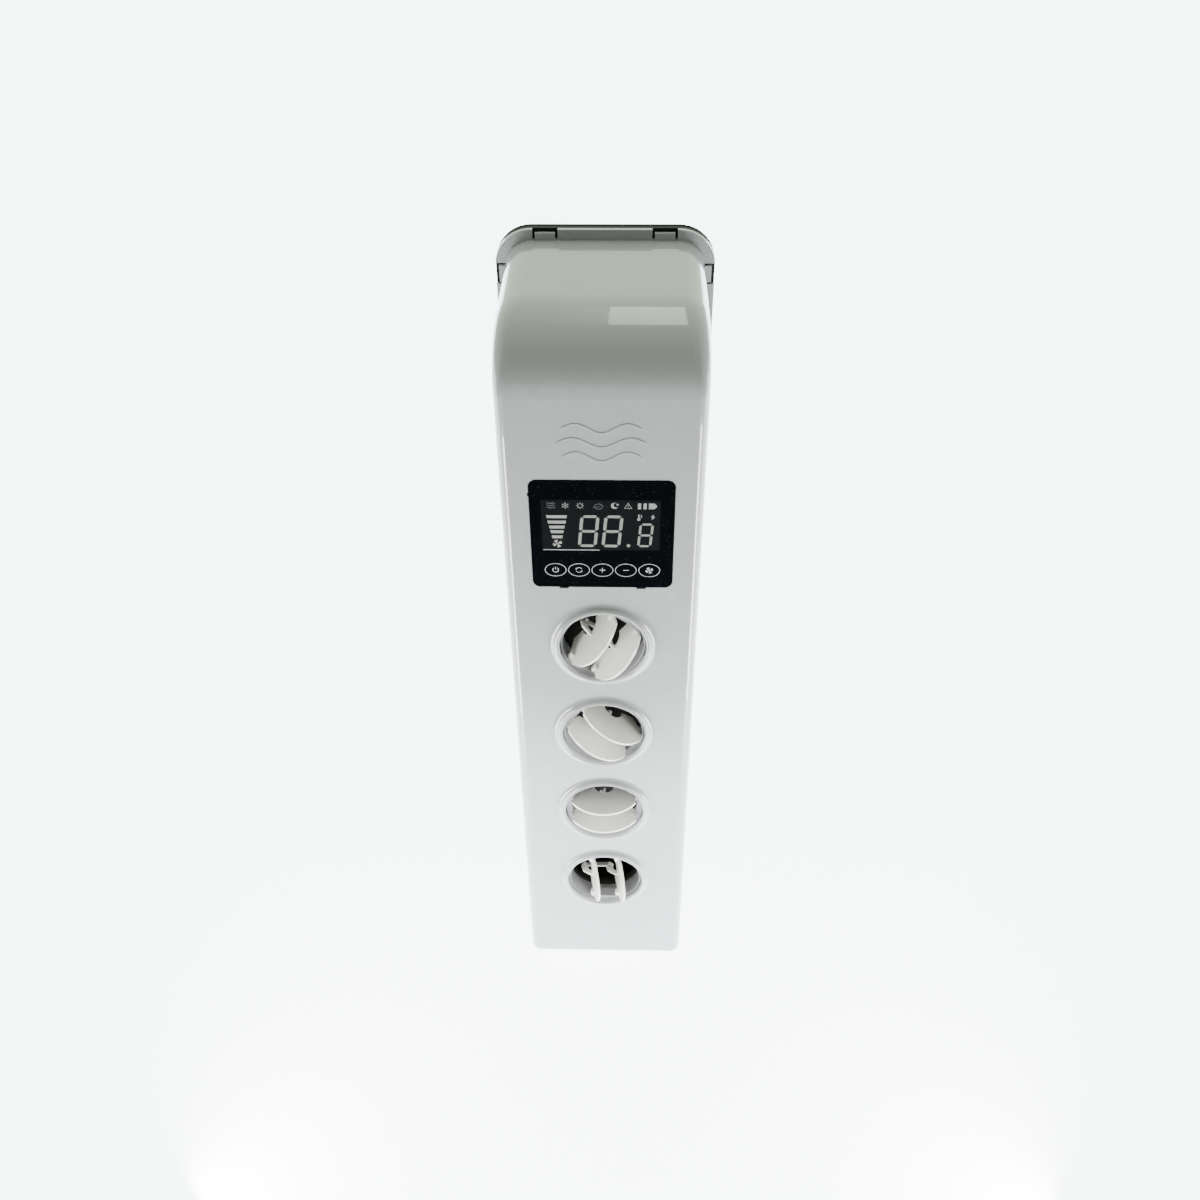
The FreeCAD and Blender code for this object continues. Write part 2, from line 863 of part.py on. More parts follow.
def retainer(vent):
    """Ring screwed to four posts behind a vent, which keeps the rotor in its socket."""
    inner = D.vent_bore - 1.5
    front = -(D.socket_depth - 0.1)
    label = f"vent_{vent}_retainer"
    owner = turned(
        f"{label}_ring",
        [
            (inner, front),
            (D.collar_radius + 8.5, front),
            (D.collar_radius + 8.5, front - 1.8),
            (inner, front - 1.8),
        ],
    )
    trim = doc.addObject("Part::Box", f"{label}_trim")
    bind(trim, "Length", "2 * (collar_radius + 9)")
    bind(trim, "Width", "vent_pitch - 1.5")
    bind(trim, "Height", "socket_depth + 5")
    bind(trim, "Placement.Base.x", "-collar_radius - 9")
    bind(trim, "Placement.Base.y", "-vent_pitch / 2 + 0.75")
    bind(trim, "Placement.Base.z", "-socket_depth - 5")
    slab = common(f"{label}_slab", owner, trim)
    slab.Placement = Placement(spot(0, 0, vent_height(vent)), OUTWARD)
    holes = [
        rod(
            f"{label}_hole_{number}",
            "y",
            f"{east} * {POST_REACH}",
            "socket_depth - 2",
            f"{vent_height_text(vent)} + {north} * {POST_REACH}",
            "screw_core + 0.3",
            "6",
        )
        for number, (east, north) in enumerate(POST_CORNERS, start=1)
    ]
    return keep(label, cut(f"{label}_solid", slab, holes))


SCREWS = []


def retainer_screws():
    """Four screws behind each vent."""
    for vent in VENTS:
        for number, (east, north) in enumerate(POST_CORNERS, start=1):
            SCREWS.append(
                screw(
                    f"retainer_screw_{vent}_{number}",
                    "y",
                    f"{east} * {POST_REACH}",
                    "socket_depth + 1.9",
                    f"{vent_height_text(vent)} + {north} * {POST_REACH}",
                    "8",
                    turned_over=True,
                )
            )


# --------------------------------------------------------------------------- wall side
def holes_on_wall(label, start, length, radius):
    """Four cylinders at the wall screws."""
    return [
        rod(
            f"{label}_{number}",
            "y",
            f"{east} * screw_span / 2",
            start,
            f"body_height / 2 + {north} * screw_rise / 2",
            radius,
            length,
        )
        for number, (east, north) in enumerate(POST_CORNERS, start=1)
    ]


def back_plate():
    """Plate that is screwed to the wall; the cover's flange snaps over it."""
    blank = flange_blank(
        "plate_slab", "body_depth + flange_thick", "body_depth + flange_thick + plate_thick"
    )
    rim = []
    for side, sign in (("left", "-1"), ("right", "1")):
        rim.append(
            box(
                f"plate_rib_{side}",
                (
                    f"{sign} * (body_width / 2 - wall - 2.2) - 1",
                    f"{sign} * (body_width / 2 - wall - 2.2) + 1",
                ),
                ("body_depth + flange_thick - 8", "body_depth + flange_thick + 0.5"),
                ("wall + 20", "body_height - wall - 24"),
            )
        )
    posts = [
        rod(
            f"board_post_{number}",
            "y",
            f"{east} * board_span / 2",
            "board_depth + board_thick",
            f"board_centre + {north} * board_rise / 2",
            "3.2",
            "body_depth + flange_thick - board_depth - board_thick + 0.5",
        )
        for number, (east, north) in enumerate(POST_CORNERS, start=1)
    ]
    mass = fuse("plate_mass", [blank] + rim + posts)
    cores = [
        rod(
            f"board_post_core_{number}",
            "y",
            f"{east} * board_span / 2",
            "board_depth - 1",
            f"board_centre + {north} * board_rise / 2",
            "screw_core",
            "10",
        )
        for number, (east, north) in enumerate(POST_CORNERS, start=1)
    ]
    for side, sign in (("left", "-1"), ("right", "1")):
        place = (f"{sign} * cover_screw_place", "body_depth", "-flange_lip / 2")
        cores.append(
            rod(f"cover_screw_core_{side}", "y", *place, "screw_core", "flange_thick + plate_thick + 1")
        )
    wall_holes = holes_on_wall("plate_hole", "body_depth", "12", "wall_screw_hole")
    return keep("back_plate", cut("plate_final", mass, wall_holes + cores))


def wall_seal():
    """Foam band between the plate and the wall."""
    front = "body_depth + flange_thick + plate_thick"
    rear = f"{front} + seal_thick"
    slab = flange_blank("seal_slab", front, rear)
    inside = rounded_plate(
        "seal_inside",
        (
            "-body_width / 2 - flange_lip + seal_band",
            "body_width / 2 + flange_lip - seal_band",
        ),
        (f"{front} - 1", f"{rear} + 1"),
        ("seal_band - flange_lip", "body_height + flange_lip - seal_band"),
        D.flange_corner - D.seal_band,
    )
    return keep("wall_seal", cut("seal_final", slab, [inside]))


def wall_washers():
    """Four spacers that let the wall screws pull the plate up without crushing the foam."""
    front = "body_depth + flange_thick + plate_thick"
    made = []
    tubes = holes_on_wall("spacer_tube", front, "seal_thick", "7")
    bores = holes_on_wall("spacer_bore", f"{front} - 1", "seal_thick + 2", "wall_screw_hole")
    for number, (tube, bore) in enumerate(zip(tubes, bores), start=1):
        made.append(cut(f"spacer_{number}", tube, [bore]))
    return keep("wall_spacers", group("spacer_set", made))


# --------------------------------------------------------------------------- bottom face
def intake_grille():
    """Louvred frame in the bottom opening."""
    across = ("-grille_width / 2", "grille_width / 2")
    depth = ("grille_centre - grille_depth / 2", "grille_centre + grille_depth / 2")
    frame = box("grille_frame", across, depth, ("0 - 0.8", "wall"))
    lip = box(
        "grille_lip",
        ("-grille_width / 2 - 2", "grille_width / 2 + 2"),
        ("grille_centre - grille_depth / 2 - 2", "grille_centre + grille_depth / 2 + 2"),
        ("wall", "wall + 1.2"),
    )
    window = box(
        "grille_window",
        ("-grille_width / 2 + 3", "grille_width / 2 - 3"),
        ("grille_centre - grille_depth / 2 + 3", "grille_centre + grille_depth / 2 - 3"),
        ("0 - 2", "wall + 3"),
    )
    shell = cut("grille_shell", fuse("grille_blank", [frame, lip]), [window])
    bars = []
    for number in range(1, int(D.grille_bars) + 1):
        middle = f"-grille_width / 2 + 3 + {number} * (grille_width - 6) / (grille_bars + 1)"
        bars.append(
            box(
                f"grille_bar_{number}",
                (f"{middle} - 0.7", f"{middle} + 0.7"),
                ("grille_centre - grille_depth / 2 + 2", "grille_centre + grille_depth / 2 - 2"),
                ("0 - 0.4", "wall + 0.6"),
            )
        )
    return keep("intake_grille", fuse("grille_final", [shell] + bars))


def air_filter():
    """Pleated filter in a card frame above the grille."""
    low = "wall + 1.2"
    high = f"{low} + filter_thick"
    frame = box(
        "filter_frame",
        ("-grille_width / 2 - 1", "grille_width / 2 + 1"),
        ("grille_centre - grille_depth / 2 - 1", "grille_centre + grille_depth / 2 + 1"),
        (low, high),
    )
    window = box(
        "filter_window",
        ("-grille_width / 2 + 1.5", "grille_width / 2 - 1.5"),
        ("grille_centre - grille_depth / 2 + 1.5", "grille_centre + grille_depth / 2 - 1.5"),
        (f"{low} - 1", f"{high} + 1"),
    )
    rim = cut("filter_rim", frame, [window])
    pleats = int(D.filter_pleats)
    half = D.grille_width / 2 - 1.4
    step = 2 * half / pleats
    base = BOTTOM_Z + D.wall + 1.2
    low_z = base + 0.4
    high_z = base + D.filter_thick - 0.4
    lower = []
    upper = []
    for place in range(pleats + 1):
        across = -half + place * step
        rise = high_z - 0.7 if place % 2 else low_z
        lower.append((across, rise))
        upper.append((across, rise + 0.7))
    owner = plate(
        "filter_media",
        "XZ_Plane",
        f"-{at_depth('grille_centre + grille_depth / 2 - 1.4')}",
        "grille_depth - 2.8",
        lower + upper[::-1],
    )
    return keep("air_filter", fuse("filter_final", [rim, owner]))


def cable_gland():
    """Threaded gland in the bottom face; no cable is modelled."""
    places = ("gland_place", "feed_depth")
    flange = rod("gland_flange", "z", *places, "-3", "gland_radius + 3", "3")
    thread = rod("gland_thread", "z", *places, "-1", "gland_radius", "wall + 7")
    dome = rod("gland_dome", "z", *places, "-11", "gland_radius + 1", "9")
    nut = rod("gland_nut", "z", *places, "wall", "gland_radius + 3", "3.4")
    bore = rod("gland_bore", "z", *places, "-12", "gland_radius - 3", "wall + 20")
    mass = fuse("gland_mass", [flange, thread, dome, nut])
    return keep("cable_gland", cut("gland_final", mass, [bore]))


# --------------------------------------------------------------------------- air path
def air_duct():
    """Open-topped plenum behind the vents, with a port for each and four screwed ears."""
    block = box(
        "duct_block",
        ("-duct_width / 2", "duct_width / 2"),
        ("duct_front", "duct_back"),
        ("duct_low", "duct_high"),
    )
    inside = box(
        "duct_inside",
        ("-duct_width / 2 + duct_wall", "duct_width / 2 - duct_wall"),
        ("duct_front + duct_wall", "duct_back - duct_wall"),
        ("duct_low + duct_wall", "duct_high + 1"),
    )
    rims = []
    ports = []
    for vent in VENTS:
        middle = vent_height_text(vent)
        rims.append(
            rod(
                f"port_rim_{vent}",
                "y",
                "0",
                "socket_depth + 2",
                middle,
                "port_radius + 2",
                "duct_front - socket_depth",
            )
        )
        ports.append(
            rod(
                f"port_{vent}",
                "y",
                "0",
                "socket_depth",
                middle,
                "port_radius",
                "duct_front - socket_depth + duct_wall + 1",
            ),
        )
    ears = []
    holes = []
    ears_across = {
        1: ("duct_width / 2 - 0.6", "duct_ear + 2.7"),
        -1: ("-duct_ear - 2.7", "-duct_width / 2 + 0.6"),
    }
    for number, (east, height) in enumerate(DUCT_EARS, start=1):
        ears.append(
            box(
                f"duct_ear_{number}",
                ears_across[east],
                ("duct_front", "duct_front + duct_wall"),
                (f"{height} - 5", f"{height} + 5"),
            )
        )
        holes.append(
            rod(
                f"duct_ear_hole_{number}",
                "y",
                f"{east} * duct_ear",
                "duct_front - 1",
                height,
                "screw_core + 0.3",
                "5",
            )
        )
        SCREWS.append(
            screw(
                f"duct_screw_{number}",
                "y",
                f"{east} * duct_ear",
                "duct_front + duct_wall",
                height,
                "8",
                turned_over=True,
            )
        )
    mass = fuse("duct_mass", [block] + rims + ears)
    return keep("air_duct", cut("duct_final", mass, [inside] + ports + holes))


def heater():
    """PTC core between blower and duct: frame, flat tubes with ceramic stones, folded fins."""
    low = "duct_high"
    high = "heater_high"
    half = "duct_width / 2"
    core = "heater_width / 2"
    frame = box("heater_block", (f"-{half}", half), ("duct_front + 4", "fan_case_back"), (low, high))
    window = box(
        "heater_window",
        (f"-{core} - 0.2", f"{core} + 0.2"),
        ("duct_front + 6", "fan_case_back - 2"),
        (f"{low} - 1", f"{high} + 1"),
    )
    slots = []
    tubes = []
    stones = []
    terminals = []
    bands = []
    first = D.duct_front + 6
    last = D.fan_case_back - 2
    count = int(D.heater_tubes)
    band = (last - first - count * D.heater_tube_thick) / (count + 1)
    band_text = (
        "((fan_case_back - duct_front - 8 - heater_tubes * heater_tube_thick) / (heater_tubes + 1))"
    )
    for number in range(count):
        start = f"duct_front + 6 + {number + 1} * {band_text} + {number} * heater_tube_thick"
        skin = "(heater_tube_thick - stone_thick) / 2"
        tube = box(
            f"heater_tube_blank_{number}",
            (f"-{core}", core),
            (start, f"{start} + heater_tube_thick"),
            (f"{low} + 2", f"{high} - 2"),
        )
        hollow = box(
            f"heater_tube_hollow_{number}",
            (f"-{core} - 1", f"{core} + 1"),
            (f"{start} + {skin}", f"{start} + {skin} + stone_thick"),
            (f"{low} + 3", f"{high} - 3"),
        )
        tubes.append(cut(f"heater_tube_{number}", tube, [hollow]))
        for place in range(int(D.stone_count)):
            pitch = "(heater_width / stone_count)"
            left = f"-{core} + {place} * {pitch} + 1.2"
            stones.append(
                box(
                    f"stone_{number}_{place}",
                    (left, f"{left} + {pitch} - 2.4"),
                    (f"{start} + {skin}", f"{start} + {skin} + stone_thick"),
                    (f"{low} + 4", f"{high} - 4"),
                )
            )
        blade_depth = (f"{start} + {skin} + 0.7", f"{start} + {skin} + 1.5")
        blade_height = (f"{low} + 10", f"{low} + 16")
        reach = (f"{core} - 1", f"{half} + 3")
        terminals.append(box(f"terminal_{number}", reach, blade_depth, blade_height))
        slot_depth = (f"{start} + {skin} + 0.6", f"{start} + {skin} + 1.6")
        slots.append(
            box(
                f"terminal_slot_{number}",
                (core, f"{half} + 1"),
                slot_depth,
                (f"{low} + 9.9", f"{low} + 16.1"),
            )
        )
    folds = int(D.fin_folds)
    step = D.heater_width / folds
    gauge = 0.35
    for number in range(count + 1):
        near_side = first + number * (band + D.heater_tube_thick)
        front_line = []
        back_line = []
        for place in range(folds + 1):
            across = -D.heater_width / 2 + place * step
            up = place % 2 == 1
            depth = FRONT_Y + near_side + (band - gauge if up else 0.0)
            front_line.append((across, depth))
            back_line.append((across, depth + gauge))
        bands.append(
            plate(
                f"heater_band_{number}",
                "XY_Plane",
                at_height(f"{low} + 3"),
                f"{high} - ({low}) - 6",
                front_line + back_line[::-1],
            )
        )
    keep("heater_frame", cut("heater_frame_final", frame, [window] + slots))
    keep("heater_tubes", group("heater_tube_set", tubes))
    stops = [
        cut(f"stone_seat_{number}", stone, [terminals[number // int(D.stone_count)]])
        if number % int(D.stone_count) == int(D.stone_count) - 1
        else stone
        for number, stone in enumerate(stones)
    ]
    keep("heater_stones", group("stone_set", stops))
    keep("heater_terminals", group("terminal_set", terminals))
    keep("heater_fins", group("heater_band_set", bands))
    cutout = box(
        "cutout_case",
        ("-8", "8"),
        ("fan_case_back", "fan_case_back + 4"),
        (f"{low} + 6", f"{low} + 22"),
    )
    keep("thermal_cutout", cutout)


def volute(wall):
    """Outline of the blower case seen from the front; wall 0 is its inside."""
    start = D.volute_start + wall
    end = D.volute_end + wall
    centre = BOTTOM_Z + D.fan_height
    turn_from = 208.0
    steps = 4

    def point(angle):
        radius = start + (turn_from - angle) / turn_from * (end - start)
        bearing = math.radians(angle)
        return (radius * math.cos(bearing), centre + radius * math.sin(bearing))

    outline = []
    for number in range(steps):
        here = turn_from * (1 - number / steps)
        middle = turn_from * (1 - (number + 0.5) / steps)
        outline.append((point(here), point(middle)))
    foot = BOTTOM_Z + D.heater_high - (0 if wall else 3)
    left = -D.duct_width / 2 + D.fan_case_wall - wall
    outline += [(end, centre), (end, foot), (left, foot), (left, centre - 0.95 * D.volute_end)]
    return outline


def blower_case():
    """Volute in two shells that part behind the wheel."""
    split = "fan_case_back - fan_case_wall"
    outside = plate(
        "case_outside",
        "XZ_Plane",
        f"-{at_depth(split)}",
        f"{split} - fan_case_front",
        volute(D.fan_case_wall),
    )
    inside = plate(
        "case_inside",
        "XZ_Plane",
        f"-{at_depth('fan_case_back')}",
        "fan_case_back - fan_case_front - fan_case_wall",
        volute(0.0),
    )
    eye = rod("case_motor_hole", "y", "0", "fan_case_front - 1", "fan_height", "9", "fan_case_wall + 2")
    keep("blower_case_front", cut("case_front_final", outside, [inside, eye]))
    lid = plate(
        "case_lid",
        "XZ_Plane",
        f"-{at_depth('fan_case_back')}",
        "fan_case_wall",
        volute(D.fan_case_wall),
    )
    bell = rod(
        "case_bell",
        "y",
        "0",
        "fan_case_back - fan_case_wall",
        "fan_height",
        "inlet_radius + 3",
        "fan_case_wall + 3",
    )
    inlet = rod("case_inlet", "y", "0", "fan_case_back - 5", "fan_height", "inlet_radius", "20")
    keep("blower_case_rear", cut("case_rear_final", fuse("case_lid_mass", [lid, bell]), [inlet]))


def blower_wheel():
    """Forward-curved centrifugal wheel on its shaft."""
    front = -(D.fan_case_front + D.fan_case_wall + D.fan_gap)
    back = -(D.fan_case_back - D.fan_case_wall - D.fan_gap)
    outer_radius = D.fan_radius
    shaft = D.shaft_radius
    owner = turned(
        "wheel_core",
        [
            (shaft, front),
            (outer_radius, front),
            (outer_radius, front - 1.6),
            (D.fan_hub, front - 1.6),
            (D.fan_hub - 2, back + 8),
            (shaft, back + 8),
        ],
    )
    inner_radius = outer_radius - 7.5
    pitch = 360.0 / D.fan_blades
    sweep = math.radians(0.75 * pitch)
    half_gauge = math.radians(0.09 * pitch)

    def rim(radius, bearing):
        return (radius * math.cos(bearing), radius * math.sin(bearing))

    middle_radius = (inner_radius + outer_radius) / 2
    vane = sketch(owner, "XY_Plane", "vane_outline", back)
    add_loop(
        vane,
        [
            (rim(inner_radius, -half_gauge), rim(middle_radius, sweep * 0.28 - half_gauge)),
            rim(outer_radius - 0.2, sweep - half_gauge),
            (rim(outer_radius - 0.2, sweep + half_gauge), rim(middle_radius, sweep * 0.28 + half_gauge)),
            rim(inner_radius, half_gauge),
        ],
    )
    first_vane = owner.newObject("PartDesign::Pad", "vane")
    first_vane.Profile = vane
    first_vane.Length = front - back - 1.0
    doc.recompute()
    pattern = owner.newObject("PartDesign::PolarPattern", "vanes")
    pattern.Originals = [first_vane]
    axis = next(item for item in owner.Origin.OriginFeatures if item.Role == "Z_Axis")
    pattern.Axis = (axis, [""])
    pattern.Angle = 360.0
    pattern.Occurrences = int(D.fan_blades)
    owner.Tip = pattern
    doc.recompute()
    ring = sketch(owner, "XZ_Plane", "wheel_ring_profile")
    add_loop(
        ring,
        [
            (outer_radius - 4, back + 2),
            (outer_radius, back + 2),
            (outer_radius, back),
            (outer_radius - 4, back),
        ],
    )
    turn = owner.newObject("PartDesign::Revolution", "wheel_ring")
    turn.Profile = ring
    turn.ReferenceAxis = (ring, ["V_Axis"])
    turn.Angle = 360.0
    owner.Placement = Placement(spot(0, 0, D.fan_height), OUTWARD)
    keep("blower_wheel", owner)
    shaft_rod = rod(
        "shaft_rod",
        "y",
        "0",
        "motor_front + 2",
        "fan_height",
        "shaft_radius",
        "fan_case_back - fan_case_wall - fan_gap - 8 - motor_front - 2",
    )
    keep("blower_shaft", shaft_rod)


def blower_motor():
    """Flat outer-rotor motor on the front of the blower case."""
    can = rod(
        "motor_can",
        "y",
        "0",
        "motor_front",
        "fan_height",
        "motor_radius",
        "fan_case_front - motor_front - 2",
    )
    foot = rod("motor_foot", "y", "0", "fan_case_front - 2", "fan_height", "motor_radius - 6", "2")
    bore = rod("motor_bore", "y", "0", "motor_front + 1.5", "fan_height", "shaft_radius + fit_gap", "20")
    groove = rod("motor_groove", "y", "0", "motor_front - 1", "fan_height", "motor_radius - 8", "1.6")
    plug = rod("motor_plug", "y", "0", "motor_front - 1", "fan_height", "motor_radius - 14", "1.8")
    recess = cut("motor_recess", groove, [plug])
    keep("blower_motor", cut("motor_final", fuse("motor_mass", [can, foot]), [bore, recess]))


# --------------------------------------------------------------------------- cooling coil
def coil_row_text(number):
    """Height of one tube row of the coil."""
    return f"(coil_low + ({number} + 0.5) * (coil_high - coil_low) / coil_rows)"


def cooling_coil():
    """Fins on a serpentine tube between two end plates."""
    rows = int(D.coil_rows)
    fins = []
    count = int(D.coil_fins)
    for number in range(count):
        left = f"-coil_half + {number} * (2 * coil_half - fin_thick) / (coil_fins - 1)"
        fins.append(
            box(
                f"fin_{number}",
                (left, f"{left} + fin_thick"),
                ("coil_front", "coil_back"),
                ("coil_low", "coil_high"),
            )
        )
    drills = [
        rod(
            f"fin_drill_{n}",
            "x",
            "-coil_half - 5",
            "tube_depth",
            coil_row_text(n),
            "tube_radius + fit_gap",
            "2 * coil_half + 10",
        )
        for n in range(rows)
    ]
    keep("coil_fins", cut("coil_fin_set", group("coil_fin_blanks", fins), [group("fin_drills", drills)]))
    plates = []
    for side, left in (("left", "-coil_half - 1.6"), ("right", "coil_half + 0.6")):
        blank = box(
            f"end_plate_{side}",
            (left, f"{left} + 1"),
            ("coil_front - 1", "coil_back + 1"),
            ("coil_low - 2", "coil_high"),
        )
        cutters = [
            rod(
                f"end_drill_{side}_{n}",
                "x",
                "-coil_half - 5",
                "tube_depth",
                coil_row_text(n),
                "tube_radius + fit_gap",
                "2 * coil_half + 10",
            )
            for n in range(rows)
        ]
        plates.append(cut(f"end_plate_final_{side}", blank, [group(f"end_drills_{side}", cutters)]))
    keep("coil_end_plates", group("end_plate_set", plates))
    pitch = (D.coil_high - D.coil_low) / rows
    points = []
    for number in range(rows):
        height = D.coil_low + (number + 0.5) * pitch
        ends = (-D.tube_end, D.tube_end) if number % 2 == 0 else (D.tube_end, -D.tube_end)
        points.append([spot(end, D.tube_depth, height) for end in ends])
    edges = []
    for number, (start, end) in enumerate(points):
        edges.append(Part.LineSegment(start, end).toShape())
        if number + 1 < rows:
            follow = points[number + 1][0]
            side = 1 if end.x > 0 else -1
            middle = (end + follow) / 2 + Vector(side * pitch / 2, 0, 0)
            edges.append(Part.Arc(end, middle, follow).toShape())
    keep("coil_tubes", swept("coil_tube", Part.Wire(edges), D.tube_radius))


def swept(label, path, radius, bore=0.0):
    """Round bar or tube along a path of lines and tangent arcs."""
    first = path.Edges[0]
    tangent = first.tangentAt(first.FirstParameter)
    start = first.valueAt(first.FirstParameter)

    def along(circle_radius):
        circle = Part.Wire(Part.Circle(start, tangent, circle_radius).toShape())
        return path.makePipeShell([circle], True, False)

    shape = along(radius)
    if bore:
        shape = shape.cut(along(bore))
    made = doc.addObject("Part::Feature", label)
    made.Shape = shape
    return made


def rounded_path(points, bend):
    """Wire through points with each inner corner replaced by a tangent arc."""
    edges = []
    last = points[0]
    for before, corner, after in zip(points, points[1:], points[2:]):
        into = (corner - before).normalize()
        out = (after - corner).normalize()
        half = into.getAngle(out) / 2
        setback = bend * math.tan(half)
        arc_start = corner - into * setback
        arc_end = corner + out * setback
        bisector = (out - into).normalize()
        centre = corner + bisector * (bend / math.cos(half))
        arc_middle = centre - bisector * bend
        edges.append(Part.LineSegment(last, arc_start).toShape())
        edges.append(Part.Arc(arc_start, arc_middle, arc_end).toShape())
        last = arc_end
    edges.append(Part.LineSegment(last, points[-1]).toShape())
    return Part.Wire(edges)


def coil_pipes():
    """Liquid and suction pipes from the coil down to their stubs under the cover."""
    rows = int(D.coil_rows)
    pitch = (D.coil_high - D.coil_low) / rows
    low_row = D.coil_low + 0.5 * pitch
    high_row = D.coil_low + (rows - 0.5) * pitch
    side = D.duct_width / 2 + 0.4
    channel = D.duct_back + 10
    turn = D.feed_depth
    liquid = [
        spot(-D.tube_end, D.tube_depth, low_row),
        spot(-side, D.tube_depth, low_row),
        spot(-side, channel, D.duct_low - 4),
        spot(D.small_pipe_place, turn, D.duct_low - 28),
        spot(D.small_pipe_place, turn, -D.stub_drop),
    ]
    suction = [
        spot(D.tube_end, D.tube_depth, high_row),
        spot(side, D.tube_depth, high_row),
        spot(side, channel, high_row - 20),
        spot(side, channel, D.duct_low - 6),
        spot(D.big_pipe_place, turn, D.duct_low - 30),
        spot(D.big_pipe_place, turn, -D.stub_drop),
    ]
    tubes = {
        "liquid_pipe": swept("liquid_pipe_tube", rounded_path(liquid, 8.0), D.pipe_small),
        "suction_pipe": swept(
            "suction_pipe_tube", rounded_path(suction, 9.0), D.pipe_big, D.pipe_big - 0.9
        ),
    }
    for node, place, radius in (
        ("liquid_pipe", "small_pipe_place", "pipe_small"),
        ("suction_pipe", "big_pipe_place", "pipe_big"),
    ):
        outside = ("z", place, "feed_depth", "-stub_drop")
        sleeve = rod(f"{node}_union_blank", *outside, f"{radius} + union_wall", "union_length")
        bore = rod(f"{node}_union_bore", *outside, f"{radius} - 0.2", "union_length")
        keep(node, fuse(f"{node}_final", [tubes[node], cut(f"{node}_union", sleeve, [bore])]))


def drip_tray():
    """Open tray under the coil with a spigot, and the hose from it."""
    across = ("-coil_half - 5", "coil_half + 5")
    depth = ("duct_back + 4", "coil_back + 3")
    block = box("tray_block", across, depth, ("coil_low - 18", "coil_low - 3"))
    inside = box(
        "tray_inside",
        ("-coil_half - 5 + tray_thick", "coil_half + 5 - tray_thick"),
        ("duct_back + 4 + tray_thick", "coil_back + 3 - tray_thick"),
        ("coil_low - 18 + tray_thick", "coil_low"),
    )
    place = ("drain_place", "duct_back + 4 + tray_thick + drain_radius")
    spigot = rod("tray_spigot", "z", *place, "coil_low - 26", "drain_radius - 1.8", "9")
    bore = rod("tray_bore", "z", *place, "coil_low - 27", "drain_radius - 2.8", "12")
    keep("drip_tray", cut("tray_final", fuse("tray_mass", [block, spigot]), [inside, bore]))
    back = D.duct_back + 4 + D.tray_thick + D.drain_radius
    top = D.coil_low - 18
    route = [
        spot(D.drain_place, back, top),
        spot(D.drain_place, back, top - 16),
        spot(D.drain_place, D.feed_depth, top - 40),
        spot(D.drain_place, D.feed_depth, -D.stub_drop + 6),
    ]
    keep(
        "drain_hose",
        swept("drain_tube", rounded_path(route, 12.0), D.drain_radius, D.drain_radius - 1.8),
    )


def air_divider():
    """Moulded shelf above the coil that makes the intake air pass through it."""
    shelf = box(
        "divider_shelf",
        ("-body_width / 2 + wall + 4", "body_width / 2 - wall - 8"),
        ("coil_front - 2", "body_depth + flange_thick"),
        ("coil_high + 1", "coil_high + 3"),
    )
    lip = box(
        "divider_lip",
        ("-coil_half - 4", "coil_half + 2"),
        ("coil_front - 4", "coil_front - 2"),
        ("coil_high - 8", "coil_high + 3"),
    )
    return keep("air_divider", fuse("divider_final", [shelf, lip]))


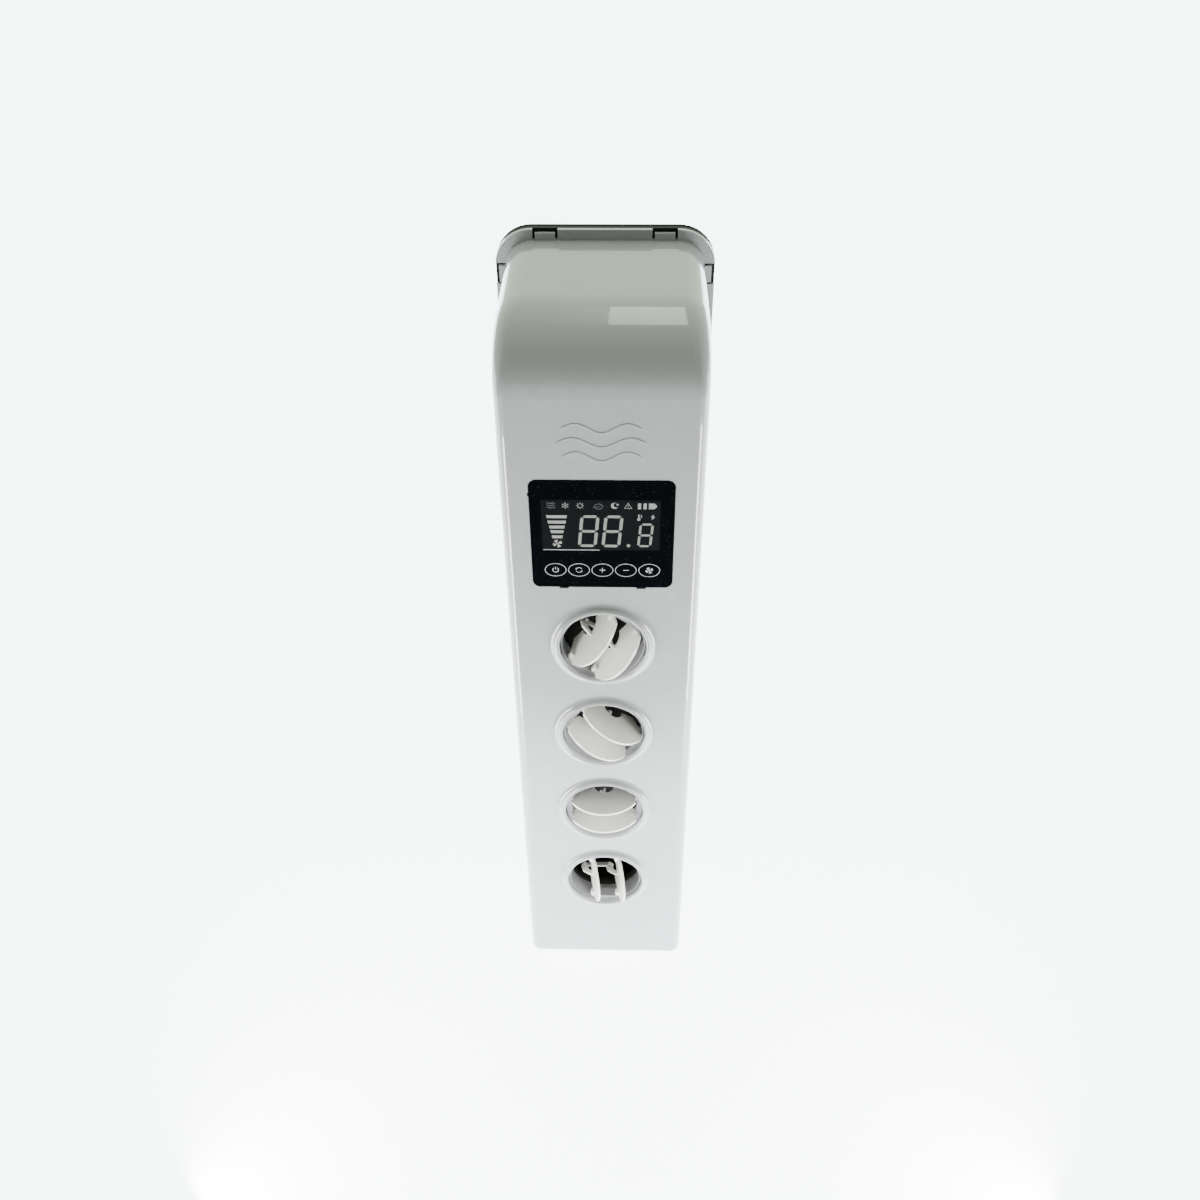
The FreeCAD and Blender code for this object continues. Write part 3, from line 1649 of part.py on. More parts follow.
# --------------------------------------------------------------------------- display and boards
def display():
    """Glossy panel, its frame, the liquid crystal cell, the touch board and key sleeves."""
    middle = "panel_centre"
    panel = rounded_plate(
        "panel_blank",
        ("-panel_width / 2", "panel_width / 2"),
        ("0 - 0.4", "panel_thick - 0.4"),
        (f"{middle} - panel_height / 2", f"{middle} + panel_height / 2"),
        D.panel_corner,
    )
    keep("display_panel", panel)
    outer_frame = rounded_plate(
        "frame_outer",
        ("-panel_width / 2 - 4", "panel_width / 2 + 4"),
        ("wall", "panel_back"),
        (f"{middle} - panel_height / 2 - 4", f"{middle} + panel_height / 2 + 4"),
        D.panel_corner,
    )
    window = box(
        "frame_window",
        ("-panel_width / 2 + 3", "panel_width / 2 - 3"),
        ("wall - 1", "panel_back + 1"),
        (f"{middle} - panel_height / 2 + 3", f"{middle} + panel_height / 2 - 3"),
    )
    posts = []
    cores = []
    for number, (east, north) in enumerate(POST_CORNERS, start=1):
        place = (
            f"{east} * (panel_width / 2 - 4)",
            "wall",
            f"{middle} + {north} * (panel_height / 2 - 4)",
        )
        posts.append(rod(f"frame_post_{number}", "y", *place, "2.8", "panel_back - wall"))
        cores.append(rod(f"frame_core_{number}", "y", *place, "screw_core", "panel_back"))
        SCREWS.append(
            screw(
                f"display_screw_{number}",
                "y",
                place[0],
                "panel_back + board_thick",
                place[2],
                "7",
                turned_over=True,
            )
        )
    shell = cut("frame_shell", outer_frame, [window])
    keep("display_frame", cut("frame_final", fuse("frame_mass", [shell] + posts), cores))
    lcd = box(
        "lcd_cell",
        ("-lcd_width / 2 - 1", "lcd_width / 2 + 1"),
        ("panel_thick - 0.3", "panel_thick + 3.2"),
        (f"{middle} + panel_height / 2 - 14 - lcd_height", f"{middle} + panel_height / 2 - 12"),
    )
    keep("display_lcd", lcd)
    blank = box(
        "display_board_blank",
        ("-panel_width / 2 + 0.5", "panel_width / 2 - 0.5"),
        ("panel_back", "panel_back + board_thick"),
        (f"{middle} - panel_height / 2 + 0.5", f"{middle} + panel_height / 2 - 0.5"),
    )
    clear = [
        rod(
            f"display_hole_{number}",
            "y",
            f"{east} * (panel_width / 2 - 4)",
            "panel_back - 1",
            f"{middle} + {north} * (panel_height / 2 - 4)",
            "screw_core + 0.3",
            "5",
        )
        for number, (east, north) in enumerate(POST_CORNERS, start=1)
    ]
    keep("display_board", cut("display_board_final", blank, clear))
    sleeves = []
    for number in range(-2, 3):
        place = (f"{number} * key_pitch", "panel_thick - 0.4", f"{middle} - panel_height / 2 + key_rise")
        tube = rod(f"sleeve_tube_{number + 3}", "y", *place, "5", "panel_back - panel_thick + 0.4")
        bore = rod(f"sleeve_bore_{number + 3}", "y", *place, "3.4", "panel_back")
        sleeves.append(cut(f"sleeve_{number + 3}", tube, [bore]))
    keep("touch_sleeves", group("sleeve_set", sleeves))


def controls():
    """Main board on the back plate with its parts, a finned heat sink and the power terminals."""
    rear = "board_depth"
    blank = box(
        "main_board_blank",
        ("-board_span / 2 - 4", "board_span / 2 + 4"),
        (rear, f"{rear} + board_thick"),
        ("board_centre - board_rise / 2 - 4", "board_centre + board_rise / 2 + 4"),
    )
    holes = []
    for number, (east, north) in enumerate(POST_CORNERS, start=1):
        place = (f"{east} * board_span / 2", f"board_centre + {north} * board_rise / 2")
        holes.append(
            rod(f"main_hole_{number}", "y", place[0], f"{rear} - 1", place[1], "screw_core + 0.3", "5")
        )
        SCREWS.append(screw(f"main_screw_{number}", "y", place[0], rear, place[1], "8"))
    keep("control_board", cut("main_board_final", blank, holes))
    parts = []
    for number, (across, up) in enumerate(((-34, 22), (-22, 22), (-10, 22)), start=1):
        parts.append(
            rod(
                f"capacitor_{number}",
                "y",
                f"{across}",
                f"{rear} - 14",
                f"board_centre + {up}",
                "5",
                "14",
            )
        )
    for number, (across, up) in enumerate(((-36, -8), (-16, -8)), start=1):
        parts.append(
            box(
                f"relay_{number}",
                (f"{across}", f"{across} + 16"),
                (f"{rear} - 13", rear),
                (f"board_centre + {up}", f"board_centre + {up} + 18"),
            )
        )
    parts.append(
        box("processor", ("12", "26"), (f"{rear} - 2", rear), ("board_centre - 6", "board_centre + 8"))
    )
    keep("board_parts", group("board_part_set", parts))
    base = box(
        "sink_base",
        ("6", "44"),
        (f"{rear} - 6", f"{rear} - 2.5"),
        ("board_centre + 12", "board_centre + 36"),
    )
    pad_block = box(
        "sink_pad", ("16", "34"), (f"{rear} - 2.5", rear), ("board_centre + 16", "board_centre + 32")
    )
    ribs = [
        box(
            f"sink_rib_{number}",
            (f"6 + {number} * 36.5 / 7", f"7.5 + {number} * 36.5 / 7"),
            (f"{rear} - 18", f"{rear} - 5.9"),
            ("board_centre + 12", "board_centre + 36"),
        )
        for number in range(8)
    ]
    keep("heat_sink", fuse("sink_final", [base, pad_block] + ribs))
    block = box(
        "terminal_body",
        ("-40", "0"),
        (f"{rear} - 12", rear),
        ("board_centre - board_rise / 2 + 4", "board_centre - board_rise / 2 + 16"),
    )
    wells = [
        rod(
            f"terminal_well_{number}",
            "y",
            f"-35 + {number} * 10",
            f"{rear} - 13",
            "board_centre - board_rise / 2 + 10",
            "3.2",
            "7",
        )
        for number in range(4)
    ]
    keep("terminal_block", cut("terminal_final", block, wells))


def air_sensor():
    """Thermistor probe held by a clip on the back of the duct."""
    place = ("-20", "duct_back + 8")
    bead = rod("sensor_bead", "z", *place, "duct_high - 40", "2.5", "26")
    foot = box(
        "sensor_foot",
        ("-23", "-17"),
        ("duct_back", "duct_back + 7"),
        ("duct_high - 30", "duct_high - 22"),
    )
    return keep("air_sensor", fuse("sensor_final", [bead, foot]))


def cover_screws():
    """Two screws that lock the cover's bottom flange to the back plate."""
    made = [
        screw(
            f"cover_screw_{name}",
            "y",
            f"{sign} * cover_screw_place",
            "body_depth",
            "-flange_lip / 2",
            "flange_thick + plate_thick - 0.5",
        )
        for name, sign in (("left", "-1"), ("right", "1"))
    ]
    return keep("cover_screws", group("cover_screw_set", made))


front_cover()
for vent in VENTS:
    rotor(vent)
    blade(vent, "a", 1)
    blade(vent, "b", -1)
    link(vent)
    retainer(vent)
retainer_screws()
back_plate()
wall_seal()
wall_washers()
intake_grille()
air_filter()
cable_gland()
air_duct()
heater()
blower_case()
blower_wheel()
blower_motor()
cooling_coil()
coil_pipes()
drip_tray()
air_divider()
display()
controls()
air_sensor()
cover_screws()
keep("pan_screws", group("pan_screw_set", SCREWS))
doc.recompute()

faults = [obj.Name for obj in doc.Objects if "Invalid" in obj.State or "Error" in obj.State]
for node, obj in NODES.items():
    if obj.Shape.isNull() or not obj.Shape.isValid():
        faults.append(node)
if faults:
    raise RuntimeError(f"these did not build: {faults}")

os.makedirs("parts", exist_ok=True)
for node, obj in NODES.items():
    obj.Shape.exportStep(f"parts/{node}.step")
    print(f"{node}: {len(obj.Shape.Solids)} solids, {obj.Shape.Volume / 1000:.2f} cm3")
print(f"{len(NODES)} nodes")
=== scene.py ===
"""Looks of a slim wall-hung cab climate unit, built around its fixed frame."""

import json
import logging
import math
from collections.abc import Callable, Mapping, Sequence
from dataclasses import dataclass, field
from enum import Enum
from typing import Any

import bmesh
import bpy
from mathutils import Matrix, Vector


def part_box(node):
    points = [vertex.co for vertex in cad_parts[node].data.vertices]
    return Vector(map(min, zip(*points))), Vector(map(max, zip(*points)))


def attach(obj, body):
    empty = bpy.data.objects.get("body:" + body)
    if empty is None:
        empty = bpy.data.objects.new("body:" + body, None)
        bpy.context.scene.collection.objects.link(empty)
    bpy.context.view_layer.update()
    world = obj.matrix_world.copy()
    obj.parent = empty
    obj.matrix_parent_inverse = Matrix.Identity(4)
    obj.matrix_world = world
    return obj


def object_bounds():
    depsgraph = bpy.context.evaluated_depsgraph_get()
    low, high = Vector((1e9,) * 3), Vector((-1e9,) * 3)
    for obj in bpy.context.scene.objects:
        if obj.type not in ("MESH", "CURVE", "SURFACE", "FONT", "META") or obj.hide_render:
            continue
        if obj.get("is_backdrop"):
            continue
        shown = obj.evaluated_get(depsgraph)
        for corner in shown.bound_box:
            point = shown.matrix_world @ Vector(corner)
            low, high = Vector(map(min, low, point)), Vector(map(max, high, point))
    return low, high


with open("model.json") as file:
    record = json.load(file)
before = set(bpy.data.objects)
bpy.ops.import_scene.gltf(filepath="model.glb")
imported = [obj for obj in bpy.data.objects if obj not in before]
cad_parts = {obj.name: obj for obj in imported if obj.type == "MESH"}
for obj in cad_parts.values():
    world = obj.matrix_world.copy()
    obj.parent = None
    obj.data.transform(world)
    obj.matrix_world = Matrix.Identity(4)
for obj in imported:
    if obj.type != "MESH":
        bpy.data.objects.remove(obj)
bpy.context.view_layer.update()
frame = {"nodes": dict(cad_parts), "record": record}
LOG = logging.getLogger("cab_climate_unit")
MM = 0.001
HOUSING = "housing"

Colour = tuple[float, float, float]
Point = tuple[float, float]
Triple = tuple[float, float, float]


# ---- shader maths
class Signal:
    """One output of a shader node, with arithmetic that adds Math nodes."""

    def __init__(self, shader: "Shader", socket: bpy.types.NodeSocket) -> None:
        """Keep the socket and the shader that it belongs to."""
        self.shader = shader
        self.socket = socket

    def _maths(self, operation: str, first: "Signal | float", second: "Signal | float") -> "Signal":
        """Add one Math node of an operation on two values."""
        return self.shader.node("ShaderNodeMath", {"operation": operation}, {0: first, 1: second})

    def __add__(self, other: "Signal | float") -> "Signal":
        """Sum with a value on the right."""
        return self._maths("ADD", self, other)

    def __radd__(self, other: "Signal | float") -> "Signal":
        """Sum with a value on the left."""
        return self._maths("ADD", other, self)

    def __sub__(self, other: "Signal | float") -> "Signal":
        """Difference from a value on the right."""
        return self._maths("SUBTRACT", self, other)

    def __rsub__(self, other: "Signal | float") -> "Signal":
        """Difference from a value on the left."""
        return self._maths("SUBTRACT", other, self)

    def __mul__(self, other: "Signal | float") -> "Signal":
        """Product with a value on the right."""
        return self._maths("MULTIPLY", self, other)

    def __rmul__(self, other: "Signal | float") -> "Signal":
        """Product with a value on the left."""
        return self._maths("MULTIPLY", other, self)


class Shader:
    """The nodes of one material or world, around the node that they all feed."""

    def __init__(self, owner: bpy.types.ID, last: str = "Principled BSDF") -> None:
        """Take over the nodes of a new material or world.

        Args:
            owner: The material or world.
            last: Name of the node that the others feed.
        """
        owner.use_nodes = True
        self.tree = owner.node_tree
        self.last = self.tree.nodes[last]

    def node(
        self,
        kind: str,
        settings: Mapping[str, Any] | None = None,
        inputs: Mapping[str | int, Any] | None = None,
        output: str | int = 0,
    ) -> Signal:
        """Add any node.

        Args:
            kind: Blender's name of the node type.
            settings: The node's own settings, set first; "stops" holds a ramp's two stops.
            inputs: Values or signals for its sockets.
            output: Which socket is the result.

        Returns:
            The chosen output.
        """
        made = self.tree.nodes.new(kind)
        for name, value in (settings or {}).items():
            if name != "stops":
                setattr(made, name, value)
                continue
            for element, (place, colour) in zip(made.color_ramp.elements, value, strict=True):
                element.position = place
                element.color = (*colour, 1.0)
        for key, value in (inputs or {}).items():
            self.feed(made.inputs[key], value)
        return Signal(self, made.outputs[output])

    def feed(self, socket: bpy.types.NodeSocket, value: Any) -> None:
        """Link a signal to a socket, or set its value.

        Args:
            socket: The input.
            value: A signal, a number, or a colour.
        """
        if isinstance(value, Signal):
            self.tree.links.new(value.socket, socket)
        elif isinstance(value, tuple) and len(value) < len(socket.default_value):
            socket.default_value = (*value, 1.0)
        else:
            socket.default_value = value

    def dress(self, **sockets: Any) -> None:
        """Set or link sockets of the last node.

        Args:
            **sockets: Values or signals by the socket's name, with _ for each space.
        """
        names = {item.name.replace(" ", "_"): item for item in self.last.inputs}
        for name, value in sockets.items():
            self.feed(names[name], value)

    def place(self, stretch: Triple = (1.0, 1.0, 1.0)) -> Signal:
        """Position on the piece in metres, scaled along each axis to draw grain out."""
        where = self.node("ShaderNodeTexCoord", output="Object")
        return self.node("ShaderNodeMapping", inputs={"Vector": where, "Scale": stretch})

    def noise(self, size: float, detail: float, where: Signal | None = None) -> Signal:
        """Cloudy noise from 0 to 1: its size in metres, and how many finer layers it has."""
        inputs = {"Vector": where or self.place(), "Scale": 1.0 / size, "Detail": detail}
        return self.node("ShaderNodeTexNoise", {"noise_dimensions": "3D"}, inputs)

    def cells(self, size: float) -> Signal:
        """Distance to the nearest of scattered points, as a share of their spacing in metres."""
        inputs = {"Vector": self.place(), "Scale": 1.0 / size}
        return self.node("ShaderNodeTexVoronoi", {"feature": "F1"}, inputs)

    def ramp(self, value: Signal, low: float, high: float, start: float = 0.0) -> Signal:
        """Smooth step from start to 1, as a value goes from low to high."""
        inputs = {"Value": value, "From Min": low, "From Max": high, "To Min": start}
        return self.node("ShaderNodeMapRange", {"interpolation_type": "SMOOTHSTEP"}, inputs)

    def mix(self, mask: Signal | float, under: Any, over: Any) -> Signal:
        """Mix two colours: mask 0 gives the one under, and 1 the one over."""
        return self.node("ShaderNodeMix", {"data_type": "RGBA"}, {0: mask, 6: under, 7: over}, output=2)

    def bump(self, height: Signal, depth: float, strength: float) -> Signal:
        """Surface normal of a height that depth turns into metres; strength is how much shows."""
        inputs = {"Strength": strength, "Distance": depth, "Height": height}
        return self.node("ShaderNodeBump", inputs=inputs)


# ---- finishes
def tinted(colour: Colour, factor: float) -> Colour:
    """Make a colour lighter or darker by a factor."""
    return tuple(min(1.0, channel * factor) for channel in colour)


@dataclass(frozen=True)
class Finish:
    """A named surface that can dress any piece."""

    name: str
    colour: Colour
    roughness: float

    def paint(self, shader: Shader) -> None:
        """Wire the detail of this surface into its shader."""
        raise NotImplementedError

    def material(self) -> bpy.types.Material:
        """Make the material, or find it if it was made before.

        Returns:
            The material.
        """
        made = bpy.data.materials.get(self.name)
        if made is None:
            made = bpy.data.materials.new(self.name)
            self.paint(Shader(made))
        return made


@dataclass(frozen=True)
class MouldedPlastic(Finish):
    """Injection moulded plastic: faint ripple of the mould, fine grain, and handling marks."""

    grain: float = 0.00035
    relief: float = 0.000004
    ripple: float = 0.00002
    gloss_coat: float = 0.0
    specular: float = 0.5
    speck_share: float = 0.10
    smudge_dulling: float = 0.05
    grain_dulling: float = 0.03

    def paint(self, shader: Shader) -> None:
        """Wire the tone, the smudges, the grain and the ripple.

        Args:
            shader: The material's shader.
        """
        clouds = shader.noise(size=0.09, detail=3.0)
        specks = shader.ramp(shader.noise(size=0.0012, detail=1.0), low=0.70, high=0.76)
        smudge = shader.ramp(shader.noise(size=0.028, detail=4.0), low=0.42, high=0.70)
        tone = shader.mix(clouds, tinted(self.colour, 0.965), tinted(self.colour, 1.03))
        worn = shader.mix(specks * self.speck_share, tone, tinted(self.colour, 0.72))
        fine = shader.noise(self.grain, detail=1.0)
        wave = shader.noise(size=0.011, detail=1.0)
        height = fine * self.relief + wave * self.ripple
        shader.dress(
            Base_Color=worn,
            Roughness=self.roughness + smudge * self.smudge_dulling + fine * self.grain_dulling,
            Specular_IOR_Level=self.specular,
            Coat_Weight=self.gloss_coat,
            Coat_Roughness=0.02,
            Normal=shader.bump(height, depth=1.0, strength=0.6),
        )


@dataclass(frozen=True)
class RubbedMetal(Finish):
    """Bare or plated metal: drawn grain, plating clouds and small stains."""

    grain_axis: Triple = (1.0, 1.0, 8.0)
    spangle: float = 0.006
    stain: Colour = (0.30, 0.28, 0.25)
    stain_share: float = 0.45
    stain_cover: float = 0.25
    stain_dulling: float = 0.2
    grain_dulling: float = 0.12

    def paint(self, shader: Shader) -> None:
        """Wire the spangle, the drawn grain and the stains.

        Args:
            shader: The material's shader.
        """
        drawn = shader.noise(size=0.0009, detail=3.0, where=shader.place(self.grain_axis))
        plate = shader.cells(self.spangle)
        stained = shader.ramp(shader.noise(size=0.02, detail=5.0), low=0.60, high=0.74)
        tone = shader.mix(plate, tinted(self.colour, 0.84), tinted(self.colour, 1.1))
        shader.dress(
            Base_Color=shader.mix(stained * self.stain_share, tone, self.stain),
            Metallic=1.0 - stained * self.stain_cover,
            Roughness=self.roughness + drawn * self.grain_dulling + stained * self.stain_dulling,
            Normal=shader.bump(drawn, depth=0.00004, strength=0.5),
        )


@dataclass(frozen=True)
class SoftRubber(Finish):
    """Rubber or closed foam: dull, with pores and pale dust."""

    pore: float = 0.0011
    dust_share: float = 0.06
    dust_dulling: float = 0.08
    dust_colour: Colour = (0.34, 0.33, 0.31)

    def paint(self, shader: Shader) -> None:
        """Wire the pores and the dust.

        Args:
            shader: The material's shader.
        """
        pores = shader.cells(self.pore)
        dust = shader.ramp(shader.noise(size=0.005, detail=5.0), low=0.50, high=0.80)
        tone = shader.mix(pores, tinted(self.colour, 0.7), tinted(self.colour, 1.2))
        shader.dress(
            Base_Color=shader.mix(dust * self.dust_share, tone, self.dust_colour),
            Roughness=self.roughness + dust * self.dust_dulling,
            Specular_IOR_Level=0.12,
            Normal=shader.bump(pores, depth=0.00018, strength=0.6),
        )


@dataclass(frozen=True)
class FibreFleece(Finish):
    """Pressed filter fleece of crossing fibres."""

    fibre_size: float = 0.0016
    up_stretch: Triple = (1.0, 9.0, 3.0)
    cross_stretch: Triple = (9.0, 1.0, 3.0)

    def paint(self, shader: Shader) -> None:
        """Wire two layers of crossing fibres.

        Args:
            shader: The material's shader.
        """
        along = shader.noise(self.fibre_size, detail=4.0, where=shader.place(self.up_stretch))
        across = shader.noise(self.fibre_size, detail=4.0, where=shader.place(self.cross_stretch))
        fibres = (along + across) * 0.5
        shader.dress(
            Base_Color=shader.mix(fibres, tinted(self.colour, 0.62), tinted(self.colour, 1.25)),
            Roughness=self.roughness,
            Specular_IOR_Level=0.1,
            Normal=shader.bump(fibres, depth=0.0005, strength=0.9),
        )


@dataclass(frozen=True)
class EtchedBoard(Finish):
    """Circuit board: solder mask over etched tracks, with plated vias."""

    blocks_per_metre: float = 260.0
    block_scatter: float = 0.35
    via_plating: Colour = (0.72, 0.60, 0.33)
    via_metal: float = 0.9
    via_polish: float = 0.08

    def paint(self, shader: Shader) -> None:
        """Wire the tracks and the vias.

        Args:
            shader: The material's shader.
        """
        settings = {"feature": "F1", "distance": "MANHATTAN"}
        inputs = {
            "Vector": shader.place(),
            "Scale": self.blocks_per_metre,
            "Randomness": self.block_scatter,
        }
        blocks = shader.node("ShaderNodeTexVoronoi", settings, inputs)
        inner = shader.ramp(blocks, low=0.34, high=0.37)
        outer = shader.ramp(blocks, low=0.46, high=0.49)
        tracks = inner * (1.0 - outer)
        vias = 1.0 - shader.ramp(shader.cells(size=0.0047), low=0.11, high=0.14)
        mask = shader.mix(tracks, self.colour, tinted(self.colour, 1.9))
        shader.dress(
            Base_Color=shader.mix(vias, mask, self.via_plating),
            Metallic=vias * self.via_metal,
            Roughness=self.roughness - vias * self.via_polish,
            Normal=shader.bump(tracks + vias, depth=0.00004, strength=0.7),
        )


@dataclass(frozen=True)
class FiredCeramic(Finish):
    """Fired heating stone: chalky, with firing clouds and dark grains."""

    grain_share: float = 0.6
    grain_relief: float = 0.5
    cloud_dulling: float = 0.1

    def paint(self, shader: Shader) -> None:
        """Wire the grains and the firing clouds.

        Args:
            shader: The material's shader.
        """
        grains = shader.ramp(shader.noise(size=0.0005, detail=2.0), low=0.62, high=0.70)
        fired = shader.noise(size=0.006, detail=3.0)
        tone = shader.mix(fired, tinted(self.colour, 0.8), tinted(self.colour, 1.15))
        shader.dress(
            Base_Color=shader.mix(grains * self.grain_share, tone, tinted(self.colour, 0.35)),
            Roughness=self.roughness + fired * self.cloud_dulling,
            Normal=shader.bump(fired + grains * self.grain_relief, depth=0.00006, strength=0.8),
        )


@dataclass(frozen=True)
class DarkGlass(Finish):
    """Back-painted black acrylic: deep gloss, fine dust and finger marks."""

    dust_share: float = 0.22
    dust_dulling: float = 0.3
    dust_colour: Colour = (0.30, 0.31, 0.33)
    mark_dulling: float = 0.05

    def paint(self, shader: Shader) -> None:
        """Wire the dust, the finger marks and the sheet's slight waves.

        Args:
            shader: The material's shader.
        """
        dust = shader.ramp(shader.noise(size=0.0007, detail=1.0), low=0.74, high=0.78)
        marks = shader.ramp(shader.noise(size=0.02, detail=4.0), low=0.50, high=0.75)
        waves = shader.noise(size=0.03, detail=1.0)
        shader.dress(
            Base_Color=shader.mix(dust * self.dust_share, self.colour, self.dust_colour),
            Roughness=self.roughness + marks * self.mark_dulling + dust * self.dust_dulling,
            Specular_IOR_Level=0.015,
            Normal=shader.bump(waves, depth=0.00003, strength=0.3),
        )


@dataclass(frozen=True)
class CellGlass(Finish):
    """Liquid crystal window: dark grey with fine rows of its cells."""

    row: float = 0.00045
    row_share: float = 0.3

    def paint(self, shader: Shader) -> None:
        """Wire the rows and the uneven backlight.

        Args:
            shader: The material's shader.
        """
        where = shader.node("ShaderNodeSeparateXYZ", inputs={0: shader.place()}, output="Z")
        rows = shader.node("ShaderNodeMath", {"operation": "PINGPONG"}, {0: where, 1: self.row})
        lines = rows * (1.0 / self.row)
        glow = shader.noise(size=0.035, detail=2.0)
        tone = shader.mix(glow, tinted(self.colour, 0.82), tinted(self.colour, 1.2))
        shader.dress(
            Base_Color=shader.mix(lines * self.row_share, tone, tinted(self.colour, 0.7)),
            Roughness=self.roughness,
            Specular_IOR_Level=0.03,
            Normal=shader.bump(lines, depth=0.000003, strength=0.3),
        )


@dataclass(frozen=True)
class LitInk(Finish):
    """Lit or printed mark: pale ink with a slight glow and uneven cover."""

    glow: float = 0.0

    def paint(self, shader: Shader) -> None:
        """Wire the uneven ink and its glow.

        Args:
            shader: The material's shader.
        """
        cover = shader.noise(size=0.0009, detail=3.0)
        tone = shader.mix(cover, tinted(self.colour, 0.86), tinted(self.colour, 1.08))
        shader.dress(
            Base_Color=tone,
            Roughness=self.roughness,
            Emission_Color=tone,
            Emission_Strength=self.glow,
            Specular_IOR_Level=0.2,
        )


@dataclass(frozen=True)
class BacklitPaper(Finish):
    """Pale floor paper that glows, apart from a strip in front of the unit."""

    fibre_colour: Colour = (0.90, 0.90, 0.90)
    glow: float = 7.0
    glow_tint: Colour = (0.90, 0.955, 1.0)
    front: float = -0.54
    lit_from: float = -0.34
    front_share: float = 0.02

    def paint(self, shader: Shader) -> None:
        """Wire the paper's fibres and where it glows.

        Args:
            shader: The material's shader.
        """
        fibres = shader.noise(size=0.004, detail=3.0)
        depth = shader.node("ShaderNodeSeparateXYZ", inputs={0: shader.place()}, output="Y")
        lit = shader.ramp(depth, self.front, self.lit_from, start=self.front_share)
        shader.dress(
            Base_Color=shader.mix(fibres, self.colour, self.fibre_colour),
            Roughness=self.roughness,
            Specular_IOR_Level=0.1,
            Emission_Color=shader.mix(lit, (0.0, 0.0, 0.0), self.glow_tint),
            Emission_Strength=self.glow,
        )


WARM_WHITE = (0.82, 0.805, 0.752)
COVER_WHITE = (0.345, 0.35, 0.362)

SLOT_FINISHES = {
    "shell_plastic": MouldedPlastic(
        "cover_gloss_white", COVER_WHITE, 0.22, gloss_coat=1.0, specular=0.3
    ),
    "rotor_plastic": MouldedPlastic("rotor_pale_grey", (0.27, 0.27, 0.29), 0.34),
    "blade_plastic": MouldedPlastic("blade_ivory", WARM_WHITE, 0.24, gloss_coat=0.2),
    "link_plastic": MouldedPlastic("link_grey", (0.42, 0.41, 0.40), 0.4),
    "inner_plastic": MouldedPlastic("inner_smoke", (0.055, 0.052, 0.05), 0.5),
    "black_plate": MouldedPlastic(
        "plate_black", (0.010, 0.010, 0.011), 0.5, relief=0.00002, specular=0.15
    ),
    "black_rubber": SoftRubber("seal_foam_black", (0.014, 0.014, 0.015), 0.85),
    "zinc_steel": RubbedMetal("screw_zinc", (0.62, 0.63, 0.65), 0.3),
    "grille_plastic": MouldedPlastic("grille_black", (0.03, 0.03, 0.032), 0.42, relief=0.00002),
    "filter_fleece": FibreFleece("filter_fleece_grey", (0.30, 0.31, 0.30), 0.95),
    "black_plastic": MouldedPlastic("fitting_black", (0.028, 0.028, 0.03), 0.38, relief=0.00002),
    "duct_plastic": MouldedPlastic("duct_dark", (0.026, 0.020, 0.017), 0.6),
    "aluminium": RubbedMetal("fin_aluminium", (0.74, 0.75, 0.76), 0.32, (8.0, 1.0, 1.0), 0.02),
    "ptc_ceramic": FiredCeramic("heater_stone", (0.36, 0.33, 0.30), 0.75),
    "brass_terminal": RubbedMetal("terminal_brass", (0.78, 0.60, 0.30), 0.28, spangle=0.004),
    "wheel_plastic": MouldedPlastic("wheel_grey", (0.16, 0.16, 0.165), 0.4),
    "motor_can": RubbedMetal("motor_can_steel", (0.42, 0.43, 0.44), 0.36, (1.0, 8.0, 1.0)),
    "copper": RubbedMetal("pipe_copper", (0.80, 0.42, 0.27), 0.3, stain=(0.25, 0.16, 0.12)),
    "panel_black": DarkGlass("panel_gloss_black", (0.0014, 0.0016, 0.0026), 0.06),
    "lcd_cell": CellGlass("cell_glass_grey", (0.0060, 0.0064, 0.0078), 0.25),
    "board_green": EtchedBoard("board_green_mask", (0.02, 0.13, 0.05), 0.34),
    "sensor_resin": MouldedPlastic("sensor_resin_black", (0.03, 0.03, 0.035), 0.3),
}


class Ink(Enum):
    """The inks of the display, from the brightest to the dimmest."""

    SEGMENT = LitInk("segment_light", (0.205, 0.205, 0.185), 0.5, 0.04)
    BRIGHT = LitInk("mark_bright", (0.25, 0.25, 0.24), 0.5, 0.05)
    DIM = LitInk("mark_dim", (0.07, 0.072, 0.075), 0.5, 0.01)
    RING = LitInk("key_ring_grey", (0.38, 0.39, 0.41), 0.45, 0.0)


# ---- flat artwork
# a corner reaches out at most 1 / 0.4 of the line's half width
SHARPEST_MITRE = 0.4
# two unit steps whose sum is shorter than this turn straight back
TURNED_BACK = 1e-6


